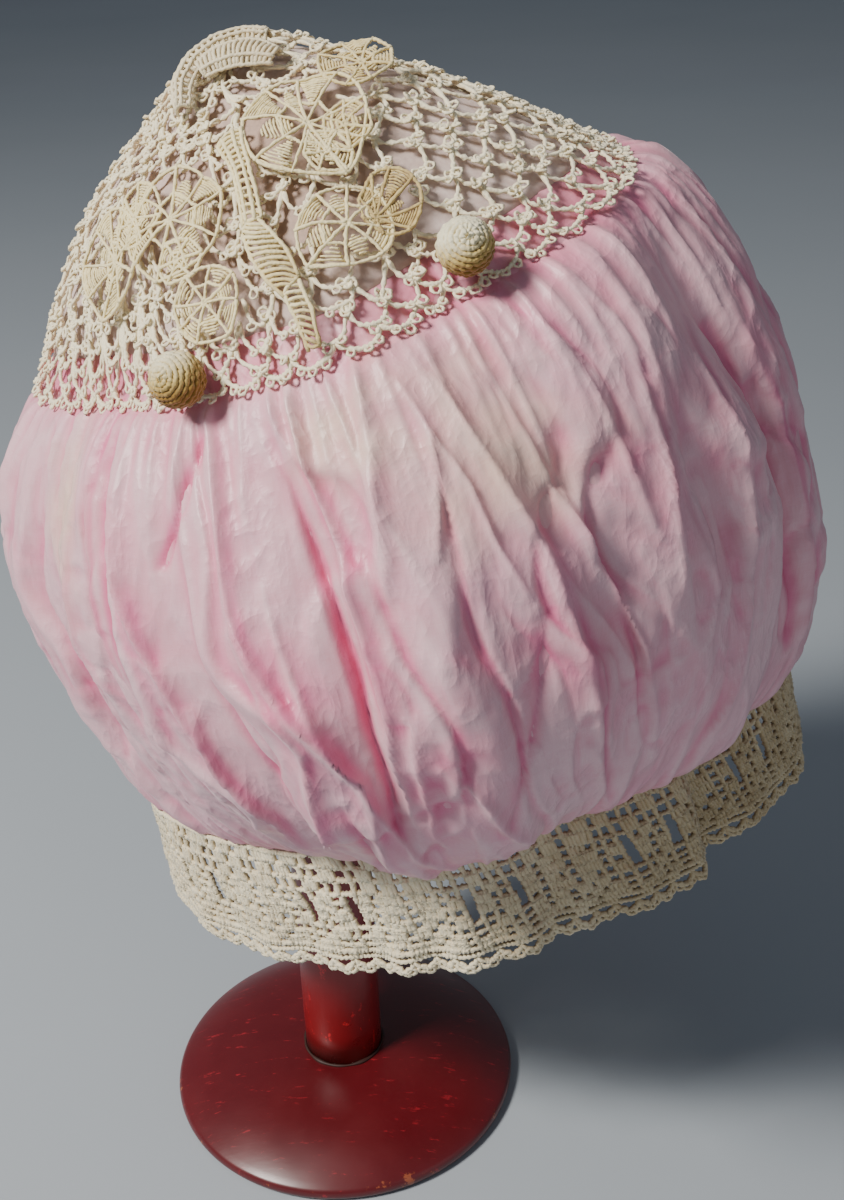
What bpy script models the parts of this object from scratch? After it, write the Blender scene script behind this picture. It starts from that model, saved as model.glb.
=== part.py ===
"""Silk cap with a crocheted crown and band, hung over a turned wooden hat stand.

Metres, +Z up. The origin is the middle of the underside of the stand's base, and the front of the
cap faces -Y. An azimuth is in degrees, from 0 at the cap's right side (+X) through 90 at its back
and 180 at its left side to 270 at its front.
"""
import math

import bmesh
import bpy
import numpy as np

# Hat stand
BASE_DIAMETER = 0.127
BASE_RIM = 0.0055
BASE_HEIGHT = 0.0150
POST_DIAMETER = 0.0285
HEAD_DIAMETER = 0.068
HEAD_HEIGHT = 0.3372
STAND_SIDES = 36
HEAD_SIDES = 24
HEAD_RINGS = 9

# Clearances
JOINT_GAP = 0.0003
HEAD_GAP = 0.0008
LACE_GAP = 0.0014

# Crown, from the middle of its edge
CROWN_WIDTH = 0.184
CROWN_DEPTH = 0.155
CROWN_RISE = 0.065
CROWN_TILT = math.radians(20.6)
LINING_WALL = 0.0010
LINING_SIDES = 32
LACE_WALL = 0.0016
LACE_OVERLAP = 0.0080
SCALLOP = 0.0022
NET_COLUMNS = 18
NET_ROWS = 3
NET_TOP = 0.30
NET_OPEN = 0.72

# Rings, as shares of the way to the edge: the stand's dome, the lining and the silk
DOME_RINGS = (0.42, 0.66, 0.86)
LINING_RINGS = (0.12, 0.25, 0.38, 0.53, 0.68, 0.84, 1.0)
SILK_RINGS = (0.05, 0.14, 0.25, 0.38, 0.51, 0.64, 0.77, 0.88, 0.95, 1.0)

# Silk puff
SILK_WALL = 0.0010
PUFF_FULLNESS = 0.045
GATHERS = 18
GATHER_DEPTH = 0.0012

# Band
CAP_HEIGHT = 0.1586
CAP_LEAN = math.radians(13.9)
BAND_WIDTH = 0.220
BAND_DEPTH = 0.140
BAND_HEIGHT = 0.044
BAND_TILT = math.radians(10.6)
BAND_WALL = 0.0016
BAND_FLARE = 0.0030
BAND_WAVE = 0.0012
SLOT_WIDTH = 0.0045
SLOT_HEIGHT = 0.0135
SLOT_BLOCK = 0.0105
SLOT_DROP = 0.0150
DASH_HEIGHT = 0.0022
DASH_DROP = 0.0365
PICOT_DEPTH = 0.0012
PANELS = 11
PLAIN_CELLS = 5
PAIR_AZIMUTH = 229.0

# Bow and trimmings on the crown
TRIM_GAP = 0.0010
APPLIQUE_CELL = 0.0095
CELL_SNAP = 0.0002
SLIVER = 0.0006
OUTLINE_STEP = 12.0
WHEEL_SIDES = 8
BOW_WALL = 0.0012
KNOT_WALL = 0.0022
WING_REACH = 0.030
KNOT_REACH = 0.0095
TAIL_REACH = 0.010
LEAF_LENGTH = 0.024
LEAF_WIDTH = 0.016
LEAF_WALL = 0.0044
LEAF_TAPER = 0.35
LEAF_RIBS = 5
RIB_HEIGHT = 0.12
BALL_DIAMETER = 0.0143

# Colours
BASE_RED = (0.145, 0.012, 0.012)
HEAD_RED = (0.20, 0.015, 0.015)
POST_RED = (0.27, 0.012, 0.014)
LINING_GREY = (0.49, 0.38, 0.36)
SILK_PINK = (0.80, 0.48, 0.53)
CROWN_IVORY = (0.71, 0.66, 0.53)
BAND_ECRU = (0.62, 0.57, 0.45)
BOW_ECRU = (0.74, 0.67, 0.48)
LEAF_ECRU = (0.66, 0.60, 0.44)
BALL_ECRU = (0.68, 0.62, 0.44)


def table(columns, *rows):
    """Rows of numbers with a name for each column."""
    return np.array(list(rows), dtype=[(name, float) for name in columns.split()])


# How far the crown's edge reaches, as a share of an oval of its width and depth, and how far its
# side swells beyond a straight fall from the stand's head, as a share of its rise
CROWN = table(
    "azimuth reach fullness",
    (0, 0.96, 0.05),
    (30, 0.96, 0.03),
    (60, 0.95, 0.02),
    (90, 0.94, 0.01),
    (135, 0.95, 0.02),
    (165, 0.97, 0.08),
    (180, 0.98, 0.12),
    (192, 0.91, 0.15),
    (207, 0.85, 0.16),
    (225, 0.85, 0.15),
    (242, 0.93, 0.14),
    (260, 0.99, 0.14),
    (278, 1.07, 0.15),
    (296, 1.00, 0.16),
    (314, 1.02, 0.17),
    (338, 1.02, 0.13),
)

# How far the band reaches, as a share of an oval of its width and depth
BAND = table(
    "azimuth reach",
    (10, 1.04),
    (25, 1.12),
    (45, 1.11),
    (65, 1.10),
    (90, 1.07),
    (115, 1.07),
    (140, 1.07),
    (160, 0.99),
    (180, 1.00),
    (200, 0.93),
    (225, 0.91),
    (250, 0.93),
    (270, 0.93),
    (290, 0.83),
    (310, 0.85),
    (325, 0.85),
    (335, 0.75),
    (348, 0.85),
    (358, 0.93),
)

# The puff's swell as a share of its fullness, the share of its height where it is fullest, and
# the power of the swell's sine: the lower, the squarer
PUFF = table(
    "azimuth swell peak power",
    (0, 0.63, 0.45, 0.45),
    (45, 0.59, 0.50, 0.50),
    (90, 0.70, 0.55, 0.55),
    (135, 0.78, 0.55, 0.60),
    (165, 0.58, 0.44, 0.65),
    (195, 0.50, 0.42, 0.95),
    (225, 0.74, 0.43, 0.85),
    (270, 1.00, 0.58, 0.60),
    (315, 0.84, 0.50, 0.52),
    (340, 0.80, 0.62, 0.44),
)

# Ridges and creases of the silk: azimuth at the crown and at the band, height as a share of the
# fullness (a crease is below zero), half width in degrees, and where it starts and ends down the puff
FOLDS = table(
    "crown band height width start end",
    (8, 14, -0.09, 7, 0.00, 1.00),
    (27, 30, 0.07, 9, 0.00, 0.90),
    (46, 52, -0.10, 8, 0.05, 1.00),
    (66, 66, 0.08, 9, 0.00, 0.85),
    (88, 84, -0.10, 8, 0.00, 0.95),
    (108, 112, 0.08, 9, 0.10, 1.00),
    (126, 130, -0.10, 8, 0.00, 1.00),
    (150, 146, 0.07, 9, 0.00, 0.90),
    (170, 166, -0.08, 7, 0.05, 1.00),
    (190, 186, 0.05, 7, 0.00, 0.80),
    (204, 200, -0.07, 6, 0.00, 0.85),
    (220, 226, -0.09, 6, 0.00, 0.75),
    (229, 238, 0.06, 6, 0.00, 0.95),
    (238, 246, -0.07, 6, 0.15, 1.00),
    (247, 262, 0.07, 6, 0.20, 1.00),
    (266, 266, -0.11, 6, 0.00, 0.95),
    (277, 280, 0.06, 7, 0.00, 0.80),
    (291, 296, 0.08, 5, 0.05, 0.80),
    (299, 304, -0.10, 6, 0.00, 0.95),
    (309, 318, 0.06, 6, 0.10, 0.80),
    (316, 328, -0.09, 6, 0.00, 0.90),
    (328, 336, 0.05, 6, 0.10, 0.90),
    (336, 342, -0.10, 6, 0.00, 0.95),
    (344, 344, 0.09, 6, 0.05, 0.90),
)

# Outlines of the bow's pieces, as a reach all round from a middle, in shares of their named reach
RIGHT_WING = table(
    "azimuth reach",
    (0, 0.50),
    (19, 0.60),
    (42, 0.90),
    (60, 1.18),
    (72, 1.03),
    (86, 0.92),
    (106, 0.75),
    (124, 0.62),
    (146, 0.48),
    (190, 0.42),
    (230, 0.50),
    (249, 0.62),
    (261, 0.80),
    (272, 0.87),
    (294, 0.76),
    (315, 0.78),
    (329, 0.86),
    (343, 0.60),
)
LEFT_WING = table(
    "azimuth reach",
    (11, 0.50),
    (45, 0.38),
    (81, 0.44),
    (113, 0.69),
    (127, 0.95),
    (136, 1.38),
    (143, 1.54),
    (150, 1.30),
    (158, 0.88),
    (169, 0.58),
    (200, 0.42),
    (222, 0.44),
    (240, 0.58),
    (264, 0.68),
    (286, 0.83),
    (301, 0.83),
    (315, 0.68),
    (342, 0.52),
)
KNOT = table(
    "azimuth reach",
    (0, 0.38),
    (50, 0.52),
    (90, 1.00),
    (130, 0.52),
    (180, 0.38),
    (230, 0.52),
    (270, 1.00),
    (310, 0.52),
)
TAIL = table(
    "azimuth reach",
    (49, 0.52),
    (90, 0.80),
    (114, 0.98),
    (135, 0.95),
    (158, 0.55),
    (238, 0.47),
    (257, 0.92),
    (280, 1.15),
    (302, 0.92),
    (338, 0.54),
)

# Round openings of the bow's lace wheels: middle from the wing's middle and radius, in shares of
# the wing's reach
RIGHT_WHEELS = table(
    "across along radius",
    (-0.03, 0.10, 0.21),
    (0.00, -0.60, 0.14),
    (0.43, 0.58, 0.13),
    (0.42, -0.40, 0.10),
)
LEFT_WHEELS = table(
    "across along radius",
    (0.03, 0.00, 0.20),
    (0.13, -0.53, 0.12),
    (-0.70, 0.54, 0.11),
)

# Places on the crown, seen square to its edge: across to the right and along to the back, as
# shares of the crown's half width
RIGHT_WING_PLACE = (0.196, -0.500)
LEFT_WING_PLACE = (-0.217, -0.489)
KNOT_PLACE = (0.011, -0.554)
TAIL_PLACE = (0.043, -0.772)
LEAF_PLACE = (0.010, -0.160)
LEAF_TURN = math.radians(-10)
RIGHT_BALL = (303.0, 0.95)
LEFT_BALL = (248.0, 0.97)

# Middles of the stand's head, the crown's edge and the band's upper edge, and their directions
HEAD_REACH = HEAD_DIAMETER / 2 + HEAD_GAP
BACK = np.array((0.0, 1.0, 0.0))
CROWN_ACROSS = np.array((math.cos(CROWN_TILT), 0.0, math.sin(CROWN_TILT)))
CROWN_UP = np.array((-math.sin(CROWN_TILT), 0.0, math.cos(CROWN_TILT)))
BAND_ACROSS = np.array((math.cos(BAND_TILT), 0.0, math.sin(BAND_TILT)))
BAND_UP = np.array((-math.sin(BAND_TILT), 0.0, math.cos(BAND_TILT)))
HEAD_CENTRE = np.array((0.0, 0.0, HEAD_HEIGHT))
CROWN_CENTRE = HEAD_CENTRE + CROWN_UP * (HEAD_REACH - CROWN_RISE)
BAND_CENTRE = CROWN_CENTRE + CAP_HEIGHT * np.array((math.sin(CAP_LEAN), 0.0, -math.cos(CAP_LEAN)))
SEAM = 1 - LACE_OVERLAP / (CROWN_WIDTH / 2)
LACE_LIFT = LINING_WALL + LACE_GAP
TRIM_LIFT = LACE_LIFT + LACE_WALL + TRIM_GAP
TRIM_SEAT = LACE_LIFT + LACE_WALL + JOINT_GAP


def around(rows, column, azimuth):
    """Value of a column at any azimuth, on a smooth closed curve through the rows."""
    knots = rows["azimuth"]
    knots = np.concatenate((knots[-2:] - 360, knots, knots[:2] + 360))
    values = rows[column]
    values = np.concatenate((values[-2:], values, values[:2]))
    slopes = (values[2:] - values[:-2]) / (knots[2:] - knots[:-2])
    knots = knots[1:-1]
    values = values[1:-1]
    angle = np.mod(azimuth, 360)
    low = np.clip(np.searchsorted(knots, angle, side="right") - 1, 0, len(knots) - 2)
    span = knots[low + 1] - knots[low]
    t = (angle - knots[low]) / span
    start = (2 * t**3 - 3 * t**2 + 1) * values[low] + (t**3 - 2 * t**2 + t) * span * slopes[low]
    end = (3 * t**2 - 2 * t**3) * values[low + 1] + (t**3 - t**2) * span * slopes[low + 1]
    return start + end


def oval(azimuth, width, depth):
    """Distance from the middle of an oval to its edge."""
    turn = np.radians(azimuth)
    return width * depth / (2 * np.hypot(depth * np.cos(turn), width * np.sin(turn)))


def crown_reach(azimuth):
    """Distance from the crown's axis to its edge."""
    return oval(azimuth, CROWN_WIDTH, CROWN_DEPTH) * around(CROWN, "reach", azimuth)


def crown_inside(azimuth, share):
    """Inner face of the crown at a share of the way from its top to its edge.

    It lies on the stand's head, leaves it along a tangent and swells a little on its way down.
    """
    reach = crown_reach(azimuth)
    out = reach * share
    middle = CROWN_RISE - HEAD_REACH
    leave = np.arctan2(-middle, reach) + np.arccos(HEAD_REACH / np.hypot(reach, middle))
    leave_out = HEAD_REACH * np.cos(leave)
    leave_up = middle + HEAD_REACH * np.sin(leave)
    fall = np.maximum((out - leave_out) / (reach - leave_out), 0)
    swell = CROWN_RISE * around(CROWN, "fullness", azimuth) * np.sin(np.pi * fall)
    on_head = middle + np.sqrt(np.maximum(HEAD_REACH**2 - out**2, 0))
    up = np.where(out < leave_out, on_head, leave_up * (1 - fall) + swell)
    turn = np.radians(azimuth)
    across = (out * np.cos(turn))[..., None] * CROWN_ACROSS
    return CROWN_CENTRE + across + (out * np.sin(turn))[..., None] * BACK + up[..., None] * CROWN_UP


def crown_point(azimuth, share, lift=0.0):
    """Point above the crown's inner face, lifted square to it."""
    azimuth, share = np.broadcast_arrays(np.asarray(azimuth, float), np.asarray(share, float))
    near = np.maximum(share, 0.02)
    down = crown_inside(azimuth, near + 0.005) - crown_inside(azimuth, near - 0.005)
    along = crown_inside(azimuth + 0.5, near) - crown_inside(azimuth - 0.5, near)
    square = np.cross(down, along)
    square = square / np.linalg.norm(square, axis=-1, keepdims=True)
    square = np.where((share < 0.02)[..., None], CROWN_UP, square)
    return crown_inside(azimuth, share) + lift * square


def crown_plan(across, along, lift):
    """Point on the crown above a place in the plane of its edge."""
    azimuth = np.degrees(np.arctan2(along, across))
    return crown_point(azimuth, np.hypot(across, along) / crown_reach(azimuth), lift)


def band_point(azimuth, drop):
    """Middle of the band's wall, at a drop below its upper edge."""
    azimuth, drop = np.broadcast_arrays(np.asarray(azimuth, float), np.asarray(drop, float))
    low = np.clip(drop / BAND_HEIGHT, 0, 1)
    turn = np.radians(azimuth)
    wave = BAND_WAVE * np.cos(2 * PANELS * turn) * low
    reach = oval(azimuth, BAND_WIDTH, BAND_DEPTH) * around(BAND, "reach", azimuth) + BAND_FLARE * low + wave
    across = (reach * np.cos(turn))[..., None] * BAND_ACROSS
    return BAND_CENTRE + across + (reach * np.sin(turn))[..., None] * BACK - drop[..., None] * BAND_UP


def fold_height(azimuth, share):
    """Sum of the ridges and creases at a place on the puff."""
    height = np.zeros(np.shape(azimuth))
    for fold in FOLDS:
        line = fold["crown"] + (fold["band"] - fold["crown"]) * share
        off = (np.mod(azimuth - line + 180, 360) - 180) / fold["width"]
        part = np.clip((share - fold["start"]) / (fold["end"] - fold["start"]), 0, 1)
        height += fold["height"] * np.exp(-(off**2)) * np.sin(np.pi * part)
    return height


def puff_point(azimuth, share):
    """Inner face of the silk at a share of the way from the crown's edge to the band."""
    azimuth, share = np.broadcast_arrays(np.asarray(azimuth, float), np.asarray(share, float))
    top = crown_point(azimuth, 1.0)
    foot = band_point(azimuth, -(JOINT_GAP + SILK_WALL))
    chord = foot - top
    chord = chord / np.linalg.norm(chord, axis=-1, keepdims=True)
    turn = np.radians(azimuth)
    out = np.cos(turn)[..., None] * CROWN_ACROSS + np.sin(turn)[..., None] * BACK
    out = out - (out * chord).sum(-1, keepdims=True) * chord
    out = out / np.linalg.norm(out, axis=-1, keepdims=True)
    bend = np.log(0.5) / np.log(around(PUFF, "peak", azimuth))
    rise = np.clip(np.sin(np.pi * share**bend), 0, 1) ** around(PUFF, "power", azimuth)
    swell = PUFF_FULLNESS * (around(PUFF, "swell", azimuth) * rise + fold_height(azimuth, share))
    edges = np.sqrt(np.clip(np.sin(np.pi * share), 0, 1)) * np.cos(np.pi * share) ** 2
    gather = GATHER_DEPTH * np.cos(GATHERS * turn) * edges
    return top + (foot - top) * share[..., None] + out * (swell + gather)[..., None]


def finish(obj, colour, roughness, smooth=True):
    """Put an object in the model's collection with a material of its own."""
    material = bpy.data.materials.new(obj.name)
    material.use_nodes = True
    shader = material.node_tree.nodes["Principled BSDF"]
    shader.inputs["Base Color"].default_value = (*colour, 1.0)
    shader.inputs["Roughness"].default_value = roughness
    shader.inputs["Metallic"].default_value = 0.0
    obj.data.materials.clear()
    obj.data.materials.append(material)
    if smooth:
        obj.data.shade_smooth()
    for collection in list(obj.users_collection):
        collection.objects.unlink(obj)
    MODEL.objects.link(obj)
    return obj


def new_object(name, points, faces):
    """Mesh object from points and faces."""
    mesh = bpy.data.meshes.new(name)
    mesh.from_pydata([tuple(point) for point in points], [], faces)
    mesh.update()
    obj = bpy.data.objects.new(name, mesh)
    MODEL.objects.link(obj)
    return obj


def add_wall(obj, wall, offset=1.0):
    """Turn an open sheet into a shell."""
    solidify = obj.modifiers.new("Wall", "SOLIDIFY")
    solidify.thickness = wall
    solidify.offset = offset


def ring_faces(rows, columns, open_cells=()):
    """Quads of a closed strip of rings, first ring uppermost, facing out, without the open cells."""
    faces = []
    for row in range(rows - 1):
        for column in range(columns):
            if (row, column) in open_cells:
                continue
            beside = (column + 1) % columns
            upper, lower = row * columns, (row + 1) * columns
            faces.append((upper + column, lower + column, lower + beside, upper + beside))
    return faces


def turned(name, profile, sides, colour, roughness):
    """Turned piece from a profile that runs down its outer side."""
    edges = [(i, i + 1) for i in range(len(profile) - 1)]
    mesh = bpy.data.meshes.new(name)
    mesh.from_pydata([(radius, 0.0, height) for radius, height in profile], edges, [])
    obj = bpy.data.objects.new(name, mesh)
    MODEL.objects.link(obj)
    screw = obj.modifiers.new("Turning", "SCREW")
    screw.steps = sides
    screw.render_steps = sides
    screw.use_merge_vertices = True
    screw.merge_threshold = 0.00001
    return finish(obj, colour, roughness)


def add_stand():
    """Domed base, plain post and ball head, all turned and painted red."""
    post = POST_DIAMETER / 2
    base = BASE_DIAMETER / 2
    shoulder = BASE_RIM / 2
    profile = [(0.0, BASE_HEIGHT), (post + shoulder, BASE_HEIGHT)]
    for share in DOME_RINGS:
        fall = (share * (base - shoulder) - post) / (base - shoulder - post)
        height = BASE_HEIGHT - (BASE_HEIGHT - BASE_RIM) * max(fall, 0.0) ** 2
        profile.append((share * (base - shoulder), height))
    for degrees in (60, 20, -20, -60):
        turn = math.radians(degrees)
        profile.append((base - shoulder + shoulder * math.cos(turn), shoulder * (1 + math.sin(turn))))
    profile += [(base - shoulder, 0.0), (0.0, 0.0)]
    turned("stand_base", profile, STAND_SIDES, BASE_RED, 0.42)

    head = HEAD_DIAMETER / 2
    seat = math.acos(-math.sqrt(1 - (post / head) ** 2))
    profile = []
    for ring in range(HEAD_RINGS + 1):
        turn = seat * ring / HEAD_RINGS
        profile.append((head * math.sin(turn), HEAD_HEIGHT + head * math.cos(turn)))
    profile[0] = (0.0, HEAD_HEIGHT + head)
    seat_height = HEAD_HEIGHT + head * math.cos(seat)
    profile.append((0.0, seat_height))
    turned("stand_head", profile, HEAD_SIDES, HEAD_RED, 0.45)

    foot = BASE_HEIGHT + JOINT_GAP
    length = seat_height - JOINT_GAP - foot
    bpy.ops.mesh.primitive_cylinder_add(
        vertices=STAND_SIDES, radius=post, depth=length, location=(0.0, 0.0, foot + length / 2)
    )
    obj = bpy.context.object
    obj.name = "stand_post"
    finish(obj, POST_RED, 0.38)
    obj.data.set_sharp_from_angle(angle=math.radians(50))


def add_lining():
    """Pale cloth under the crown's lace, laid over the stand's head."""
    columns = LINING_SIDES
    edge = SEAM - JOINT_GAP / (CROWN_WIDTH / 2)
    shares = edge * np.array(LINING_RINGS)
    azimuth = np.arange(columns) * 360 / columns
    rings = crown_point(azimuth[None, :], shares[:, None])
    points = list(rings.reshape(-1, 3)) + [crown_point(0.0, 0.0)]
    faces = ring_faces(len(shares), columns)
    for column in range(columns):
        faces.append((len(points) - 1, column, (column + 1) % columns))
    obj = new_object("crown_lining", points, faces)
    add_wall(obj, LINING_WALL)
    finish(obj, LINING_GREY, 0.8)


def add_puff():
    """Gathered silk from under the lace edge down to the band."""
    columns = 4 * GATHERS
    azimuth = np.arange(columns) * 360 / columns
    shares = np.array(SILK_RINGS)
    under = crown_point(azimuth[None, :], np.array((SEAM, 1.0))[:, None])
    rings = np.concatenate((under, puff_point(azimuth[None, :], shares[:, None])))
    obj = new_object("silk_puff", rings.reshape(-1, 3), ring_faces(len(rings), columns))
    add_wall(obj, SILK_WALL)
    finish(obj, SILK_PINK, 0.42)


def outward(face, places):
    """The face turned so that it faces out, from the azimuth and share of its corners."""
    base = places[face[1]][0]
    flat = [(places[i][1], (places[i][0] - base + 180) % 360 - 180) for i in face]
    area = 0.0
    for (s0, a0), (s1, a1) in zip(flat, flat[1:] + flat[:1]):
        area += s0 * a1 - s1 * a0
    return tuple(face) if area > 0 else tuple(reversed(face))


def add_crown_lace():
    """Net of lozenge openings between a closed top and a scalloped edge, as one sheet."""
    columns = NET_COLUMNS
    step = 360 / columns
    pitch = (SEAM - NET_TOP) / (NET_ROWS + 1)
    places = []
    faces = []

    def corner(azimuth, share):
        places.append((azimuth % 360, share))
        return len(places) - 1

    def middle(row, column):
        return (column + 0.5 * (row % 2)) * step

    top = corner(0.0, 0.0)
    disc = []
    for share in (NET_TOP / 3, 2 * NET_TOP / 3, NET_TOP):
        disc.append([corner(middle(1, column), share) for column in range(columns)])
    holes = {}
    for row in range(1, NET_ROWS + 1):
        for column in range(columns):
            azimuth = middle(row, column)
            share = NET_TOP + row * pitch
            holes[row, column] = (
                corner(azimuth, share - NET_OPEN * pitch),
                corner(azimuth + NET_OPEN * step / 2, share),
                corner(azimuth, share + NET_OPEN * pitch),
                corner(azimuth - NET_OPEN * step / 2, share),
            )
    low = NET_ROWS
    foot_share = SEAM - (1 - NET_OPEN) * pitch
    between = [corner(middle(low, column) + step / 2, foot_share) for column in range(columns)]
    seam = []
    edge = []
    for column in range(columns):
        for quarter in range(4):
            azimuth = middle(low, column) + quarter * step / 4
            reach = float(crown_reach(np.float64(azimuth)))
            if quarter % 2 == 0:
                seam.append(corner(azimuth, SEAM))
            edge.append(corner(azimuth, 1.0 if quarter % 2 else 1 - SCALLOP / reach))

    for column in range(columns):
        beside = (column + 1) % columns
        faces.append((top, disc[0][column], disc[0][beside]))
        for inner, outer in zip(disc, disc[1:]):
            faces.append((inner[column], outer[column], outer[beside], inner[beside]))
        left, right = holes[1, column], holes[1, beside]
        faces.append((disc[-1][column], left[0], right[0], disc[-1][beside]))
        faces.append((left[0], left[1], right[3], right[0]))
        left, right = holes[low, column], holes[low, beside]
        faces.append((left[2], left[1], between[column]))
        faces.append((left[1], right[3], between[column]))
        faces.append((right[3], right[2], between[column]))
        start, half_way, end = 2 * column, 2 * column + 1, 2 * beside
        faces.append((left[2], between[column], seam[half_way], seam[start]))
        faces.append((between[column], right[2], seam[end], seam[half_way]))
    for half in range(2 * columns):
        beside = (half + 1) % (2 * columns)
        tip = edge[2 * half + 1]
        faces.append((seam[half], edge[2 * half], tip))
        faces.append((seam[half], tip, seam[beside]))
        faces.append((seam[beside], tip, edge[2 * beside]))
    for row in range(1, NET_ROWS + 1):
        for column in range(columns):
            hole = holes[row, column]
            beside = holes[row, (column + 1) % columns]
            shift = row % 2
            knot = [hole[1], beside[3]]
            if row > 1:
                knot.insert(1, holes[row - 1, (column + shift) % columns][2])
            if row < NET_ROWS:
                knot.append(holes[row + 1, (column + shift) % columns][0])
            faces.append(knot)
            if row == NET_ROWS:
                continue
            right = holes[row + 1, (column + shift) % columns]
            left = holes[row + 1, (column + shift - 1) % columns]
            faces.append((hole[1], right[0], right[3], hole[2]))
            faces.append((hole[3], left[0], left[1], hole[2]))
    faces = [outward(face, places) for face in faces]
    azimuth, share = np.array(places).T
    obj = new_object("crown_lace", crown_point(azimuth, share, LACE_LIFT), faces)
    add_wall(obj, LACE_WALL)
    finish(obj, CROWN_IVORY, 0.85)


def even_azimuths(distances):
    """Azimuths at given distances along the band's edge, from the middle of the first slot pair."""
    fine = PAIR_AZIMUTH + np.linspace(0, 360, 1441)
    ring = band_point(fine, 0.0)
    length = np.concatenate(((0.0,), np.cumsum(np.linalg.norm(np.diff(ring, axis=0), axis=1))))
    return np.interp(np.mod(distances / PANELS, 1.0) * length[-1], length, fine), length[-1]


def add_band():
    """Band of square mesh with pairs of ribbon slots, dash-like gaps and a picot edge."""
    length = even_azimuths(np.zeros(1))[1]
    pitch = length / PANELS
    widths = [SLOT_WIDTH, SLOT_BLOCK, SLOT_WIDTH]
    pair = sum(widths)
    widths += [(pitch - pair) / PLAIN_CELLS] * PLAIN_CELLS
    starts = (np.cumsum([0.0] + widths[:-1]) - pair / 2) / pitch
    distances = np.concatenate([panel + starts for panel in range(PANELS)])
    azimuth = even_azimuths(distances)[0]
    columns = len(azimuth)
    slot_foot = SLOT_DROP + SLOT_HEIGHT
    drops = [0.0, SLOT_DROP, slot_foot, DASH_DROP, DASH_DROP + DASH_HEIGHT, BAND_HEIGHT]
    rings = band_point(azimuth[None, :], np.array(drops)[:, None])
    rings[-1] += np.where(np.arange(columns) % 2, PICOT_DEPTH, 0.0)[:, None] * BAND_UP
    open_cells = set()
    per_panel = len(widths)
    for panel in range(PANELS):
        first = panel * per_panel
        open_cells |= {(1, first), (1, first + 2), (3, first + 1), (3, first + 4), (3, first + 6)}
    obj = new_object("lace_band", rings.reshape(-1, 3), ring_faces(len(drops), columns, open_cells))
    add_wall(obj, BAND_WALL, offset=0.0)
    finish(obj, BAND_ECRU, 0.85)


def add_applique(name, outline, reach, place, wheels, wall):
    """Flat lace piece with round openings, cut into small cells and laid over the crown's net."""
    half = CROWN_WIDTH / 2
    centre = np.array(place) * half
    curve = bpy.data.curves.new(name, "CURVE")
    curve.dimensions = "2D"
    curve.fill_mode = "BOTH"
    angles = np.arange(0, 360, OUTLINE_STEP)
    radii = reach * around(outline, "reach", angles)
    turn = np.radians(angles)
    rims = [centre + radii[:, None] * np.column_stack((np.cos(turn), np.sin(turn)))]
    turn = np.arange(WHEEL_SIDES) * 2 * np.pi / WHEEL_SIDES
    for wheel in wheels:
        hub = centre + reach * np.array((wheel["across"], wheel["along"]))
        rims.append(hub + reach * wheel["radius"] * np.column_stack((np.cos(turn), np.sin(turn))))
    for rim in rims:
        spline = curve.splines.new("POLY")
        spline.points.add(len(rim) - 1)
        for point, (across, along) in zip(spline.points, rim):
            point.co = (across, along, 0.0, 1.0)
        spline.use_cyclic_u = True
    flat = bpy.data.objects.new(name, curve)
    MODEL.objects.link(flat)
    bpy.context.view_layer.update()
    mesh = bpy.data.meshes.new_from_object(flat.evaluated_get(bpy.context.evaluated_depsgraph_get()))
    bpy.data.objects.remove(flat)
    sheet = bmesh.new()
    sheet.from_mesh(mesh)
    bmesh.ops.remove_doubles(sheet, verts=sheet.verts, dist=0.00001)
    for axis in (0, 1):
        low = min(vert.co[axis] for vert in sheet.verts)
        high = max(vert.co[axis] for vert in sheet.verts)
        cuts = max(2, round((high - low) / APPLIQUE_CELL))
        for cut in range(1, cuts):
            spot = [0.0, 0.0, 0.0]
            spot[axis] = low + (high - low) * cut / cuts
            square = [0.0, 0.0, 0.0]
            square[axis] = 1.0
            geometry = list(sheet.verts) + list(sheet.edges) + list(sheet.faces)
            bmesh.ops.bisect_plane(sheet, geom=geometry, plane_co=spot, plane_no=square, dist=CELL_SNAP)
    bmesh.ops.remove_doubles(sheet, verts=sheet.verts, dist=SLIVER)
    bmesh.ops.triangulate(sheet, faces=sheet.faces)
    if sum(face.normal.z for face in sheet.faces) < 0:
        bmesh.ops.reverse_faces(sheet, faces=sheet.faces)
    for vert in sheet.verts:
        vert.co = crown_plan(np.float64(vert.co.x), np.float64(vert.co.y), TRIM_LIFT)
    sheet.to_mesh(mesh)
    sheet.free()
    mesh.name = name
    obj = bpy.data.objects.new(name, mesh)
    MODEL.objects.link(obj)
    add_wall(obj, wall)
    finish(obj, BOW_ECRU, 0.8)


def add_leaf():
    """Ribbed crochet leaf, a low pad laid over the crown's top."""
    bpy.ops.mesh.primitive_uv_sphere_add(segments=16, ring_count=8, radius=1.0)
    obj = bpy.context.object
    obj.name = "crown_leaf"
    cos, sin = math.cos(LEAF_TURN), math.sin(LEAF_TURN)
    half = CROWN_WIDTH / 2
    for vert in obj.data.vertices:
        x, y, z = vert.co
        length = x * LEAF_LENGTH / 2
        width = y * LEAF_WIDTH / 2 * (1 - LEAF_TAPER * x * x)
        rib = 1 + RIB_HEIGHT * math.cos(LEAF_RIBS * math.pi * y) if z > 0 else 1.0
        lift = TRIM_SEAT + LEAF_WALL / 2 * (1 + z * rib)
        across = LEAF_PLACE[0] * half + length * cos - width * sin
        along = LEAF_PLACE[1] * half + length * sin + width * cos
        vert.co = crown_plan(np.float64(across), np.float64(along), lift)
    finish(obj, LEAF_ECRU, 0.85)


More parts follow.
